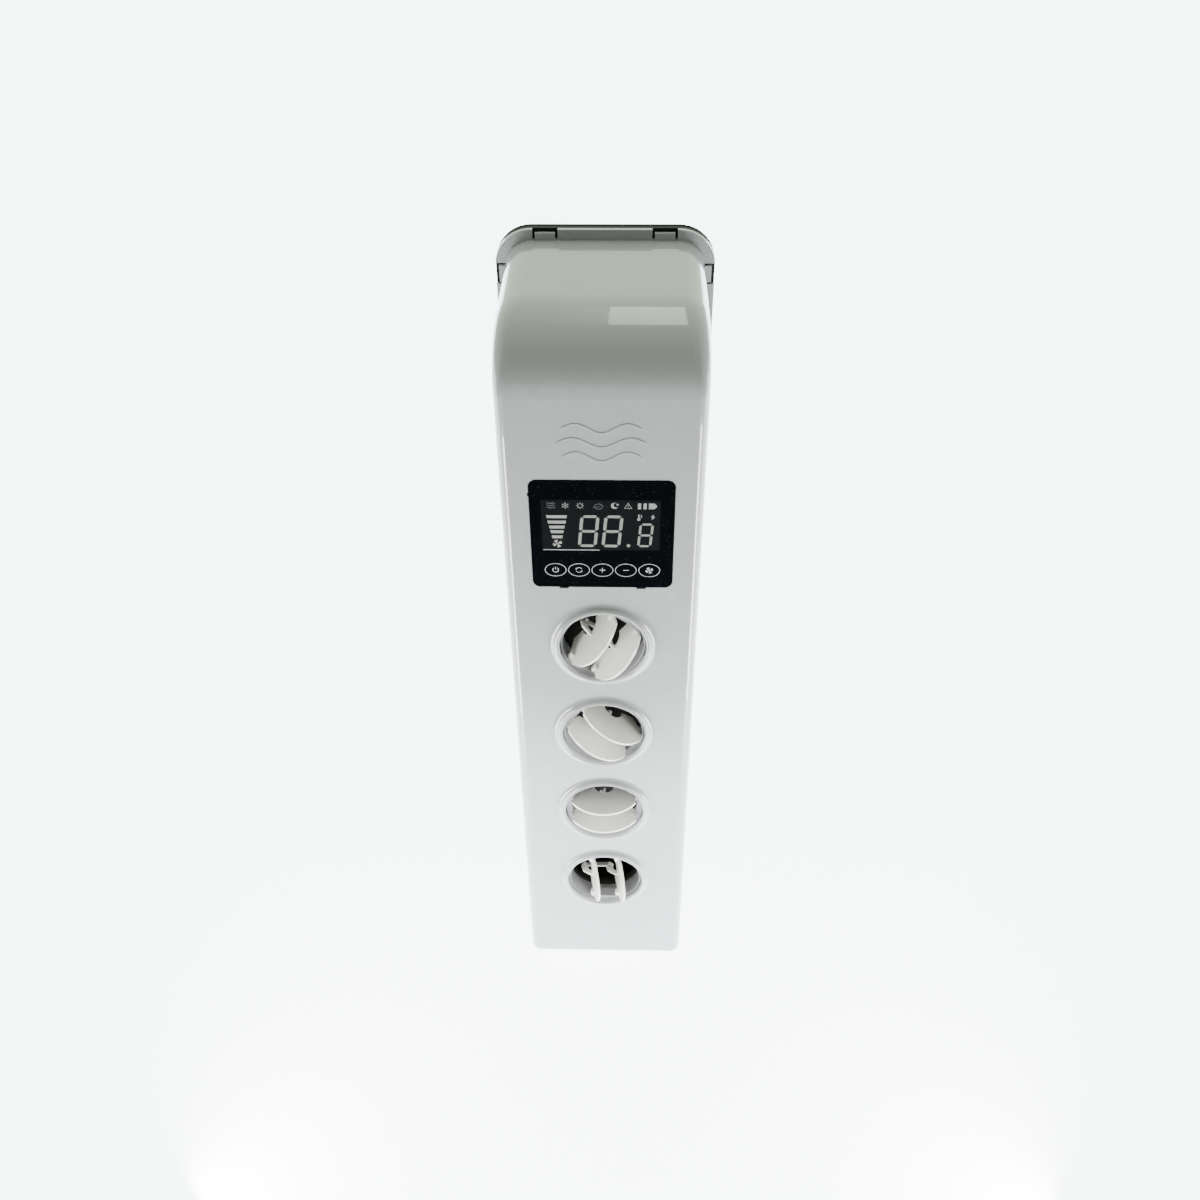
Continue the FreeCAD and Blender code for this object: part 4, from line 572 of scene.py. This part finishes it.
@dataclass
class Film:
    """Thin printed film on an upright plane, drawn in millimetres from the plane's centre."""

    name: str
    centre: Vector
    lift: float
    thickness: float = 0.05
    mesh: bmesh.types.BMesh = field(default_factory=bmesh.new)

    def shape(self, points: Sequence[Point]) -> None:
        """Add a filled outline from its corners in order."""
        corners = [self.mesh.verts.new((x, 0.0, z)) for x, z in points]
        self.mesh.faces.new(corners)

    def disc(self, centre: Point, radius: float, steps: int = 24) -> None:
        """Add a filled circle."""
        self.shape(arc_points(centre, (radius, radius), 0.0, 360.0 - 360.0 / steps, steps))

    def stroke(self, points: Sequence[Point], width: float, closed: bool = False) -> None:
        """Add a line of one width with mitred corners.

        Args:
            points: Middle of the line.
            width: Its width.
            closed: Whether it returns to its start.
        """
        sides = [self._side_points(points, place, width / 2, closed) for place in range(len(points))]
        rails = [[self.mesh.verts.new((x, 0.0, z)) for x, z in side] for side in sides]
        count = len(points) if closed else len(points) - 1
        for place in range(count):
            (left, right), (next_left, next_right) = rails[place], rails[(place + 1) % len(points)]
            self.mesh.faces.new((left, right, next_right, next_left))

    @staticmethod
    def _side_points(
        points: Sequence[Point], place: int, half: float, closed: bool
    ) -> tuple[Point, Point]:
        """Both edges of a line at one of its points.

        Args:
            points: Middle of the line.
            place: Which of them is meant.
            half: Half the line's width.
            closed: Whether the line returns to its start.

        Returns:
            The left and the right edge there.
        """
        here = Vector(points[place])
        has_after = closed or place < len(points) - 1
        before = Vector(points[place - 1]) if closed or place else None
        after = Vector(points[(place + 1) % len(points)]) if has_after else None
        into = (here - before).normalized() if before is not None else (after - here).normalized()
        out = (after - here).normalized() if after is not None else into
        along = (into + out).normalized() if (into + out).length > TURNED_BACK else into
        side = Vector((-along.y, along.x))
        reach = half / max(SHARPEST_MITRE, side.dot(Vector((-into.y, into.x))))
        return tuple(here + side * reach), tuple(here - side * reach)

    def finish(self, finish: Finish, slot: str, body: str = HOUSING) -> bpy.types.Object:
        """Thicken the film, put it in place and dress it.

        Args:
            finish: Its surface.
            slot: The record's slot that it takes after; not used.
            body: The body that it rides on.

        Returns:
            The piece.
        """
        faces = list(self.mesh.faces)
        bmesh.ops.recalc_face_normals(self.mesh, faces=faces)
        for face in self.mesh.faces:
            if face.normal.y > 0:
                face.normal_flip()
        grown = bmesh.ops.extrude_face_region(self.mesh, geom=faces)
        fronts = [item for item in grown["geom"] if isinstance(item, bmesh.types.BMVert)]
        bmesh.ops.translate(self.mesh, verts=fronts, vec=(0.0, -self.thickness, 0.0))
        bmesh.ops.recalc_face_normals(self.mesh, faces=self.mesh.faces)
        bmesh.ops.scale(self.mesh, vec=(MM, MM, MM), verts=self.mesh.verts)
        shift = self.centre - Vector((0.0, self.lift * MM, 0.0))
        bmesh.ops.translate(self.mesh, vec=shift, verts=self.mesh.verts)
        data = bpy.data.meshes.new(self.name)
        self.mesh.to_mesh(data)
        self.mesh.free()
        made = bpy.data.objects.new(self.name, data)
        bpy.context.collection.objects.link(made)
        data.materials.append(finish.material())
        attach(made, body)
        return made


def arc_points(centre: Point, radii: Point, start: float, end: float, steps: int) -> list[Point]:
    """Points along an ellipse.

    Args:
        centre: Its centre.
        radii: Half width and half height.
        start: First angle in degrees, from the right, counterclockwise.
        end: Last angle.
        steps: Number of points.

    Returns:
        The points.
    """
    east, north = centre
    turns = [math.radians(start + (end - start) * step / (steps - 1)) for step in range(steps)]
    return [(east + radii[0] * math.cos(turn), north + radii[1] * math.sin(turn)) for turn in turns]


def ring_points(centre: Point, radii: Point, steps: int = 40) -> list[Point]:
    """Points round a whole ellipse, without its first one again."""
    return arc_points(centre, radii, 0.0, 360.0 - 360.0 / steps, steps)


def wave_points(start: Point, length: float, swing: float, humps: float, steps: int) -> list[Point]:
    """Points along a level wave.

    Args:
        start: Its left end.
        length: How far it runs to the right.
        swing: How far it rises and falls.
        humps: How many half waves it has.
        steps: Number of equal steps.

    Returns:
        The points.
    """
    shares = [step / steps for step in range(steps + 1)]
    east, north = start
    return [
        (east + length * share, north + swing * math.sin(share * humps * math.pi)) for share in shares
    ]


def rounded_rectangle(halves: Point, radius: float, centre: Point) -> list[Point]:
    """Outline of a rectangle with round corners.

    Args:
        halves: Half its width and half its height.
        radius: Radius of its corners.
        centre: Its centre.

    Returns:
        Its points in order.
    """
    points = []
    for quarter, (east, north) in enumerate(((1, 1), (-1, 1), (-1, -1), (1, -1))):
        corner = (centre[0] + east * (halves[0] - radius), centre[1] + north * (halves[1] - radius))
        points += arc_points(corner, (radius, radius), 90.0 * quarter, 90.0 * quarter + 90.0, 8)
    return points


def about(centre: Point, angle: float, distance: float) -> Point:
    """Point at an angle in degrees and a distance from a centre."""
    turn = math.radians(angle)
    return centre[0] + distance * math.cos(turn), centre[1] + distance * math.sin(turn)


# ---- display
class Layer(Enum):
    """What a film lies on, as its height above the panel's front in millimetres."""

    PANEL = 0.0
    WINDOW = 0.05


@dataclass(frozen=True)
class Mark:
    """One film of the display, and how it is drawn."""

    name: str
    draw: Callable[[Film], None]
    finish: Finish
    slot: str = "lcd_cell"
    layer: Layer = Layer.WINDOW


@dataclass(frozen=True)
class FanSign:
    """Sign of a fan with four swept blades: shares of its radius, and degrees."""

    radius: float
    hub: float = 0.2
    root: float = 0.3
    lean: float = 20.0
    root_span: Point = (-8.0, 34.0)
    tip_step: float = 6.0

    def draw(self, film: Film, centre: Point) -> None:
        """Draw the hub and the blades.

        Args:
            film: Where they are drawn.
            centre: Centre of the fan.
        """
        film.disc(centre, self.radius * self.hub)
        for quarter in range(4):
            turn = 90.0 * quarter + self.lean
            tip = [about(centre, turn + self.tip_step * step, self.radius) for step in range(-4, 6)]
            foot = [about(centre, turn + edge, self.radius * self.root) for edge in self.root_span]
            film.shape([foot[0], *tip, foot[1]])


@dataclass
class Readout:
    """Window of the liquid crystal cell with its bars, digits and unit signs, in millimetres."""

    window_halves: Point = (37.9, 19.6)
    window_centre: Point = (-0.8, 8.2)
    window_corner: float = 0.8
    edge_span: Point = (-38.2, -1.8)
    edge_line: float = 0.5
    bar_places: tuple[Point, ...] = ((14.9, 13.4), (10.7, 12.0), (6.8, 10.2), (3.1, 8.7), (-1.0, 7.2))
    bar_column: float = -28.9
    bar_height: float = 2.3
    bar_taper: float = 0.5
    fan: FanSign = FanSign(3.0)
    fan_rise: float = -6.4
    digit_size: Point = (12.2, 25.2)
    digit_corners: tuple[Point, ...] = ((-15.9, -9.0), (-0.6, -9.0))
    digit_line: float = 2.05
    digit_slant: float = 0.09
    segment_gap: float = 0.5
    dot_place: Point = (17.0, -7.7)
    dot_radius: float = 1.15
    small_size: Point = (9.2, 18.8)
    small_corner: Point = (22.4, -8.7)
    small_line: float = 1.6
    bulb_place: Point = (23.4, 13.3)
    bulb_radius: float = 1.1
    stem_span: Point = (13.6, 17.0)
    stem_line: float = 0.9
    degree_span: Point = (24.4, 25.5)
    degree_rise: float = 14.8
    degree_spacing: float = 0.9
    degree_line: float = 0.35
    spark: tuple[Point, ...] = (
        (32.9, 17.2), (30.9, 14.7), (32.2, 14.7), (31.5, 12.6), (33.8, 15.4), (32.5, 15.4)
    )

    def marks(self) -> tuple[Mark, ...]:
        """List the films from the bottom to the top.

        Returns:
            The films.
        """
        return (
            Mark("display_window", self.window, SLOT_FINISHES["lcd_cell"], layer=Layer.PANEL),
            Mark("display_window_edge", self.window_edge, Ink.RING.value),
            Mark("display_speed_bars", self.speed_bars, Ink.BRIGHT.value),
            Mark("display_fan_mark", self.fan_mark, Ink.BRIGHT.value),
            Mark("display_main_digits", self.main_digits, Ink.SEGMENT.value),
            Mark("display_small_digit", self.small_digit, Ink.SEGMENT.value),
            Mark("display_unit_marks", self.unit_marks, Ink.BRIGHT.value),
        )

    def window(self, film: Film) -> None:
        """Draw the dark grey window of the liquid crystal cell."""
        film.shape(rounded_rectangle(self.window_halves, self.window_corner, self.window_centre))

    def window_edge(self, film: Film) -> None:
        """Draw a thin light line along part of the window's lower edge."""
        low = self.window_centre[1] - self.window_halves[1]
        film.stroke([(place, low) for place in self.edge_span], self.edge_line)

    def speed_bars(self, film: Film) -> None:
        """Draw the fan speed bars, which narrow downwards.

        Args:
            film: Where they are drawn.
        """
        for rise, width in self.bar_places:
            low = rise - self.bar_height / 2
            high = rise + self.bar_height / 2
            left = self.bar_column - width / 2
            right = self.bar_column + width / 2
            foot = [(left + self.bar_taper, low), (right - self.bar_taper, low)]
            film.shape([*foot, (right, high), (left, high)])

    def fan_mark(self, film: Film) -> None:
        """Draw the fan mark under the speed bars."""
        self.fan.draw(film, (self.bar_column, self.fan_rise))

    def digit(self, film: Film, corner: Point, size: Point, line: float) -> None:
        """Draw all seven segments of a slanted digit.

        Args:
            film: Where it is drawn.
            corner: Its lower left corner.
            size: Width and height.
            line: Width of a segment.
        """
        width, height = size
        half = line / 2
        left, right = half, width - half
        levels = (half, height / 2, height - half)
        bars = [((left, level), (right, level)) for level in levels]
        for low, high in zip(levels, levels[1:]):
            bars += [((left, low), (left, high)), ((right, low), (right, high))]
        for start, end in bars:
            along = (Vector(end) - Vector(start)).normalized()
            side = Vector((-along.y, along.x)) * half
            first = Vector(start) + along * self.segment_gap
            last = Vector(end) - along * self.segment_gap
            outline = [
                first,
                first + along * half - side,
                last - along * half - side,
                last,
                last - along * half + side,
                first + along * half + side,
            ]
            film.shape([(corner[0] + p.x + p.y * self.digit_slant, corner[1] + p.y) for p in outline])

    def main_digits(self, film: Film) -> None:
        """Draw two large digits and the dot after them.

        Args:
            film: Where they are drawn.
        """
        for corner in self.digit_corners:
            self.digit(film, corner, self.digit_size, self.digit_line)
        film.disc(self.dot_place, self.dot_radius)

    def small_digit(self, film: Film) -> None:
        """Draw the smaller digit on the right."""
        self.digit(film, self.small_corner, self.small_size, self.small_line)

    def unit_marks(self, film: Film) -> None:
        """Draw a thermometer and a spark above the smaller digit.

        Args:
            film: Where they are drawn.
        """
        film.disc(self.bulb_place, self.bulb_radius)
        film.stroke([(self.bulb_place[0], rise) for rise in self.stem_span], self.stem_line)
        for step in range(3):
            rise = self.degree_rise + self.degree_spacing * step
            film.stroke([(place, rise) for place in self.degree_span], self.degree_line)
        film.shape(self.spark)


@dataclass
class IconRow:
    """Icons along the top of the window, in millimetres."""

    rise: float = 23.6
    line: float = 0.45
    fine_line: float = 0.32
    drift_start: float = -35.0
    drift_length: float = 5.5
    drift_swing: float = 0.45
    drift_humps: float = 11.0 / 3.0
    drift_spacing: float = 1.7
    leaf_centre: Point = (-2.1, 23.0)
    leaf_radii: Point = (3.2, 3.6)
    leaf_offset: float = 1.6
    leaf_arc: Point = (152.0, 28.0)
    vein: tuple[Point, ...] = ((-5.7, 22.1), (-0.7, 23.2))
    flake_place: float = -23.2
    flake_span: Point = (0.3, 2.4)
    flake_fork: float = 1.44
    flake_barb: float = 0.816
    flake_lean: float = 50.0
    sun_place: float = -13.8
    sun_radius: float = 1.5
    ray_span: Point = (2.0, 2.6)
    moon_place: float = 8.0
    moon_radius: float = 2.3
    bite_shift: Point = (1.1, 0.6)
    bite_radius: float = 1.75
    star_shift: Point = (1.9, 0.9)
    star_radii: Point = (1.1, 0.5)
    warning_place: float = 16.6
    warning_radius: float = 2.7
    warning_drop: float = 0.6
    stem_span: Point = (0.7, -0.8)
    dot_drop: float = 1.4
    dot_radius: float = 0.28
    charge_bars: tuple[Point, ...] = ((22.7, 24.8), (26.2, 28.3))
    charge_span: Point = (-2.4, 2.0)
    block_span: Point = (29.7, 33.2)
    nose_radius: float = 1.5
    nose_arc: float = 55.0

    def marks(self) -> tuple[Mark, ...]:
        """List the films.

        Returns:
            The films.
        """
        return (
            Mark("display_dim_icons", self.dim_icons, Ink.DIM.value),
            Mark("display_status_icons", self.status_icons, Ink.BRIGHT.value),
            Mark("display_battery", self.battery, Ink.BRIGHT.value),
        )

    def dim_icons(self, film: Film) -> None:
        """Draw the unlit icons: three drifts of air, and a leaf with its vein.

        Args:
            film: Where they are drawn.
        """
        for row in (1, 0, -1):
            start = (self.drift_start, self.rise + self.drift_spacing * row)
            wave = wave_points(start, self.drift_length, self.drift_swing, self.drift_humps, 11)
            film.stroke(wave, self.line)
        east, north = self.leaf_centre
        first, last = self.leaf_arc
        upper = arc_points((east, north - self.leaf_offset), self.leaf_radii, first, last, 9)
        lower = arc_points((east, north + self.leaf_offset), self.leaf_radii, -last, -first, 9)
        film.stroke(upper + lower, self.line, closed=True)
        film.stroke(self.vein, self.line)

    def status_icons(self, film: Film) -> None:
        """Draw the lit icons: snowflake, sun, moon with a star, and a warning triangle.

        Args:
            film: Where they are drawn.
        """
        self.snowflake(film, (self.flake_place, self.rise))
        self.sun(film, (self.sun_place, self.rise))
        self.moon(film, (self.moon_place, self.rise))
        self.warning(film, (self.warning_place, self.rise))

    def snowflake(self, film: Film, centre: Point) -> None:
        """Draw six arms with barbs.

        Args:
            film: Where they are drawn.
            centre: Their centre.
        """
        for arm in range(6):
            turn = 60.0 * arm + 30.0
            fork = about(centre, turn, self.flake_fork)
            film.stroke([about(centre, turn, reach) for reach in self.flake_span], self.fine_line)
            for lean in (-self.flake_lean, self.flake_lean):
                film.stroke([fork, about(fork, turn + lean, self.flake_barb)], self.fine_line)

    def sun(self, film: Film, centre: Point) -> None:
        """Draw a ring with eight rays.

        Args:
            film: Where they are drawn.
            centre: Their centre.
        """
        ring = ring_points(centre, (self.sun_radius, self.sun_radius), 24)
        film.stroke(ring, self.fine_line, closed=True)
        for ray in range(8):
            film.stroke([about(centre, 45.0 * ray, reach) for reach in self.ray_span], self.fine_line)

    def moon(self, film: Film, centre: Point) -> None:
        """Draw a crescent with a small star.

        Args:
            film: Where they are drawn.
            centre: Centre of the moon's disc.
        """
        bite = (centre[0] + self.bite_shift[0], centre[1] + self.bite_shift[1])
        outer = arc_points(centre, (self.moon_radius, self.moon_radius), 60.0, 330.0, 24)
        inner = arc_points(bite, (self.bite_radius, self.bite_radius), 305.0, 85.0, 18)
        film.shape(outer + inner)
        middle = (centre[0] + self.star_shift[0], centre[1] + self.star_shift[1])
        film.shape([about(middle, 90.0 + 36.0 * tip, self.star_radii[tip % 2]) for tip in range(10)])

    def warning(self, film: Film, centre: Point) -> None:
        """Draw a triangle with a bar and a dot in it.

        Args:
            film: Where they are drawn.
            centre: Middle of the icon.
        """
        east, north = centre
        middle = (east, north - self.warning_drop)
        corners = [about(middle, 90.0 + 120.0 * corner, self.warning_radius) for corner in range(3)]
        film.stroke(corners, self.fine_line, closed=True)
        film.stroke([(east, north + rise) for rise in self.stem_span], self.fine_line)
        film.disc((east, north - self.dot_drop), self.dot_radius, 12)

    def battery(self, film: Film) -> None:
        """Draw the charge bars of the battery and its end block.

        Args:
            film: Where they are drawn.
        """
        low, high = (self.rise + rise for rise in self.charge_span)
        for left, right in self.charge_bars:
            film.shape([(left, low), (right, low), (right, high), (left, high)])
        left, right = self.block_span
        radii = (self.nose_radius, self.nose_radius)
        nose = arc_points((right, (low + high) / 2), radii, -self.nose_arc, self.nose_arc, 7)
        film.shape([(left, low), (right, low), *nose, (right, high), (left, high)])


@dataclass
class TouchKeys:
    """Row of oval touch keys and the sign in each, in millimetres."""

    count: int = 5
    pitch: float = 15.4
    rise: float = -28.0
    radii: Point = (6.9, 5.2)
    line: float = 0.42
    power_radius: float = 1.9
    power_line: float = 0.45
    power_arc: Point = (125.0, 415.0)
    power_span: Point = (0.3, 2.4)
    mode_radius: float = 2.0
    mode_step: float = 15.0
    arrow_turn: float = 128.0
    arrow: tuple[Point, ...] = ((218.0, 0.9), (98.0, 0.7), (338.0, 0.7))
    sign_half: float = 1.9
    sign_gap: float = 0.25
    sign_line: float = 0.5
    fan: FanSign = FanSign(2.5)

    def marks(self) -> tuple[Mark, ...]:
        """List the films.

        Returns:
            The films.
        """
        return (
            Mark("display_key_rings", self.rings, Ink.RING.value, "panel_black", Layer.PANEL),
            Mark("display_key_marks", self.signs, Ink.RING.value, "panel_black", Layer.PANEL),
        )

    def places(self) -> list[Point]:
        """Centres of the keys from left to right."""
        first = -self.pitch * (self.count - 1) / 2
        return [(first + self.pitch * place, self.rise) for place in range(self.count)]

    def rings(self, film: Film) -> None:
        """Draw an oval outline round each key."""
        for centre in self.places():
            film.stroke(ring_points(centre, self.radii, 56), self.line, closed=True)

    def signs(self, film: Film) -> None:
        """Draw the sign in each key: power, mode, plus, minus and fan.

        Args:
            film: Where they are drawn.
        """
        power, mode, plus, minus, fan = self.places()
        ring = arc_points(power, (self.power_radius, self.power_radius), *self.power_arc, 24)
        film.stroke(ring, self.power_line)
        film.stroke([(power[0], power[1] + rise) for rise in self.power_span], self.power_line)
        self.mode_sign(film, mode)
        for east, north in (plus, minus):
            film.stroke([(east - self.sign_half, north), (east + self.sign_half, north)], self.sign_line)
        east, north = plus
        for top, foot in ((self.sign_half, self.sign_gap), (-self.sign_gap, -self.sign_half)):
            film.stroke([(east, north + top), (east, north + foot)], self.sign_line)
        self.fan.draw(film, fan)

    def mode_sign(self, film: Film, centre: Point) -> None:
        """Draw two arrows that chase each other round a circle.

        Args:
            film: Where they are drawn.
            centre: Centre of the circle.
        """
        for turn in (20.0, 200.0):
            arc = [about(centre, turn + self.mode_step * step, self.mode_radius) for step in range(9)]
            film.stroke(arc, self.line)
            tip = about(centre, turn + self.arrow_turn, self.mode_radius)
            film.shape([about(tip, turn + lean, reach) for lean, reach in self.arrow])


@dataclass
class Display:
    """Everything that shows on the touch display, each mark a film on the panel's front."""

    readout: Readout = field(default_factory=Readout)
    icons: IconRow = field(default_factory=IconRow)
    keys: TouchKeys = field(default_factory=TouchKeys)

    def build(self) -> list[bpy.types.Object]:
        """Make every mark.

        Returns:
            The pieces.
        """
        low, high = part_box("display_panel")
        centre = Vector(((low.x + high.x) / 2, low.y, (low.z + high.z) / 2))
        pieces = []
        for mark in (*self.readout.marks(), *self.icons.marks(), *self.keys.marks()):
            film = Film(mark.name, centre, mark.layer.value)
            mark.draw(film)
            pieces.append(film.finish(mark.finish, mark.slot))
        return pieces


# ---- cover relief
def round_edges(made: bpy.types.Object, width: float, angle: float) -> None:
    """Round a piece's sharp edges.

    Args:
        made: The piece.
        width: Width of the rounding in millimetres.
        angle: Least turn of the surface at a sharp edge, in degrees.
    """
    rounding = made.modifiers.new("rounded_edges", "BEVEL")
    rounding.width = width * MM
    rounding.segments = 3
    rounding.limit_method = "ANGLE"
    rounding.angle_limit = math.radians(angle)


@dataclass
class AirEmblem:
    """Raised sign of drifting air above the display, in the cover's own plastic, in millimetres."""

    rise_above_panel: float = 27.0
    panel_proud: float = 0.4
    half_length: float = 27.0
    shorter_by: float = 3.0
    spacing: float = 10.0
    swing: float = 3.2
    humps: float = 3.0
    steps: int = 36
    line: float = 1.5
    height: float = 0.35
    sunk: float = 0.1
    edge: float = 0.2
    sharp_from: float = 30.0

    def build(self) -> list[bpy.types.Object]:
        """Make the three raised waves, the outer two a little shorter.

        Returns:
            The piece.
        """
        low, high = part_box("display_panel")
        cover_front = low.y + self.panel_proud * MM
        centre = Vector(((low.x + high.x) / 2, cover_front, high.z + self.rise_above_panel * MM))
        film = Film("cover_air_emblem", centre, -self.sunk, self.height + self.sunk)
        for row in (-1, 0, 1):
            reach = self.half_length - self.shorter_by * abs(row)
            start = (-reach, row * self.spacing)
            film.stroke(wave_points(start, 2 * reach, self.swing, self.humps, self.steps), self.line)
        made = film.finish(SLOT_FINISHES["shell_plastic"], "shell_plastic")
        round_edges(made, self.edge, self.sharp_from)
        return [made]


# ---- carried-over nodes
@dataclass
class Casework:
    """The design's own nodes: each keeps its shape and gets its slot's finish, and the listed ones get
    softened edges.
    """

    edges: dict[str, float] = field(default_factory=lambda: {"display_panel": 0.7, "display_frame": 0.3})
    sharp_from: float = 40.0

    def build(self) -> list[bpy.types.Object]:
        """Dress every node.

        Returns:
            The nodes' objects.
        """
        slots = {part["node"]: part["material_slot"] for part in frame["record"]["subparts"]}
        for node, made in frame["nodes"].items():
            material = SLOT_FINISHES[slots[node]].material()
            for place in made.material_slots:
                place.material = material
            if node in self.edges:
                round_edges(made, self.edges[node], self.sharp_from)
        return list(frame["nodes"].values())


# ---- studio
@dataclass(frozen=True)
class Lamp:
    """One soft rectangular light, out of the camera's sight."""

    name: str
    place: Triple
    aim: Triple
    size: Point
    power: float
    tint: Colour = (1.0, 1.0, 1.0)
    mirrored: bool = True

    def hang(self) -> None:
        """Add the light to the studio."""
        lamp = bpy.data.lights.new(self.name, "AREA")
        lamp.shape = "RECTANGLE"
        lamp.size, lamp.size_y = self.size
        lamp.energy = self.power
        lamp.color = self.tint
        made = bpy.data.objects.new(self.name, lamp)
        made.location = self.place
        towards = Vector(self.aim) - Vector(self.place)
        made.rotation_euler = towards.to_track_quat("-Z", "Y").to_euler()
        made.visible_camera = False
        made.visible_glossy = self.mirrored
        bpy.context.collection.objects.link(made)


@dataclass
class Studio:
    """Pale floor, soft light and the camera."""

    paper: BacklitPaper = BacklitPaper("floor_paper", (0.86, 0.86, 0.86), 0.9)
    floor_drop: float = 0.012
    floor_size: float = 12.0
    bright_sky: Colour = (1.52, 1.76, 1.40)
    dark_sky: Colour = (0.115, 0.105, 0.108)
    sky_slope: Triple = (0.0, 0.62, 0.38)
    sky_span: Point = (-0.42, 0.70)
    sky_strength: float = 1.0
    camera_place: Point = (0.0169, -0.7575)
    camera_rise: float = 0.6194
    camera_lens: float = 36.09
    camera_sensor: float = 36.0
    camera_down: float = 0.690
    camera_roll: float = -0.010
    camera_yaw: float = 0.030
    lamps: tuple[Lamp, ...] = (
        Lamp("front_fill", (-0.5, -2.6, 0.9), (0.0, 0.0, 0.0), (1.8, 1.8), power=1.0),
        Lamp(
            "low_front", (0.0, -0.38, -0.315), (0.0, -0.13, -0.28), (0.7, 0.08), power=0.75,
            tint=(0.74, 0.88, 1.0), mirrored=False,
        ),
        Lamp(
            "ceiling_pane", (0.054, 0.245, 1.5), (0.054, 0.245, 0.0), (0.142, 0.82), power=2.4,
            tint=(0.93, 1.0, 0.80),
        ),
        Lamp("left_strip", (-0.30, -0.355, -0.15), (-0.06, -0.13, -0.15), (0.08, 0.36), power=3.2),
        Lamp("right_strip", (0.33, -0.355, -0.15), (0.06, -0.13, -0.15), (0.08, 0.36), power=3.2),
    )

    def build(self) -> None:
        """Make the floor, the lights and the camera."""
        self.floor()
        self.lights()
        self.camera()

    def floor(self) -> None:
        """Lay a pale paper floor under the unit."""
        low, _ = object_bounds()
        half = self.floor_size / 2
        data = bpy.data.meshes.new("studio_floor")
        corners = [(-half, -half, 0), (half, -half, 0), (half, half, 0), (-half, half, 0)]
        data.from_pydata(corners, [], [(0, 1, 2, 3)])
        made = bpy.data.objects.new("studio_floor", data)
        made.location.z = low[2] - self.floor_drop
        bpy.context.collection.objects.link(made)
        data.materials.append(self.paper.material())
        made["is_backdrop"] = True

    def lights(self) -> None:
        """Set up the sky, which brightens upwards and backwards, and hang the lamps."""
        world = bpy.data.worlds.new("studio_sky")
        sky = Shader(world, "Background")
        facing = sky.node("ShaderNodeTexCoord", output="Generated")
        factors = {0: facing, 1: self.sky_slope}
        height = sky.node("ShaderNodeVectorMath", {"operation": "DOT_PRODUCT"}, factors, "Value")
        low, high = self.sky_span
        limits = {"Value": height, "From Min": low, "From Max": high}
        share = sky.node("ShaderNodeMapRange", inputs=limits)
        stops = ((0.0, self.dark_sky), (1.0, self.bright_sky))
        tone = sky.node("ShaderNodeValToRGB", {"stops": stops}, {0: share})
        sky.dress(Color=tone, Strength=self.sky_strength)
        bpy.context.scene.world = world
        for lamp in self.lamps:
            lamp.hang()

    def camera(self) -> None:
        """Stand the camera above and in front of the unit."""
        data = bpy.data.cameras.new("view_camera")
        data.lens = self.camera_lens
        data.sensor_width = self.camera_sensor
        made = bpy.data.objects.new("view_camera", data)
        bpy.context.collection.objects.link(made)
        bpy.context.scene.camera = made
        yaw_cos, yaw_sin = math.cos(self.camera_yaw), math.sin(self.camera_yaw)
        down_cos, down_sin = math.cos(self.camera_down), math.sin(self.camera_down)
        roll_cos, roll_sin = math.cos(self.camera_roll), math.sin(self.camera_roll)
        above = Vector((0.0, 0.0, 1.0))
        ahead = Vector((-yaw_sin, yaw_cos, 0.0))
        right = Vector((yaw_cos, yaw_sin, 0.0))
        forward = down_cos * ahead - down_sin * above
        upward = down_sin * ahead + down_cos * above
        rolled_right = roll_cos * right + roll_sin * upward
        rolled_up = roll_cos * upward - roll_sin * right
        facing = Matrix((rolled_right, rolled_up, -forward)).transposed().to_4x4()
        made.matrix_world = Matrix.Translation((*self.camera_place, self.camera_rise)) @ facing


def main() -> None:
    """Build the looks in order and report each piece."""
    logging.basicConfig(level=logging.INFO, format="%(message)s")
    builders: dict[str, Callable[[], list[bpy.types.Object]]] = {
        "casework": Casework().build,
        "display": Display().build,
        "emblem": AirEmblem().build,
    }
    for name, build in builders.items():
        for piece in build():
            LOG.info("%s: %s, %d faces", name, piece.name, len(piece.data.polygons))
    Studio().build()


if __name__ == "__main__":
    main()
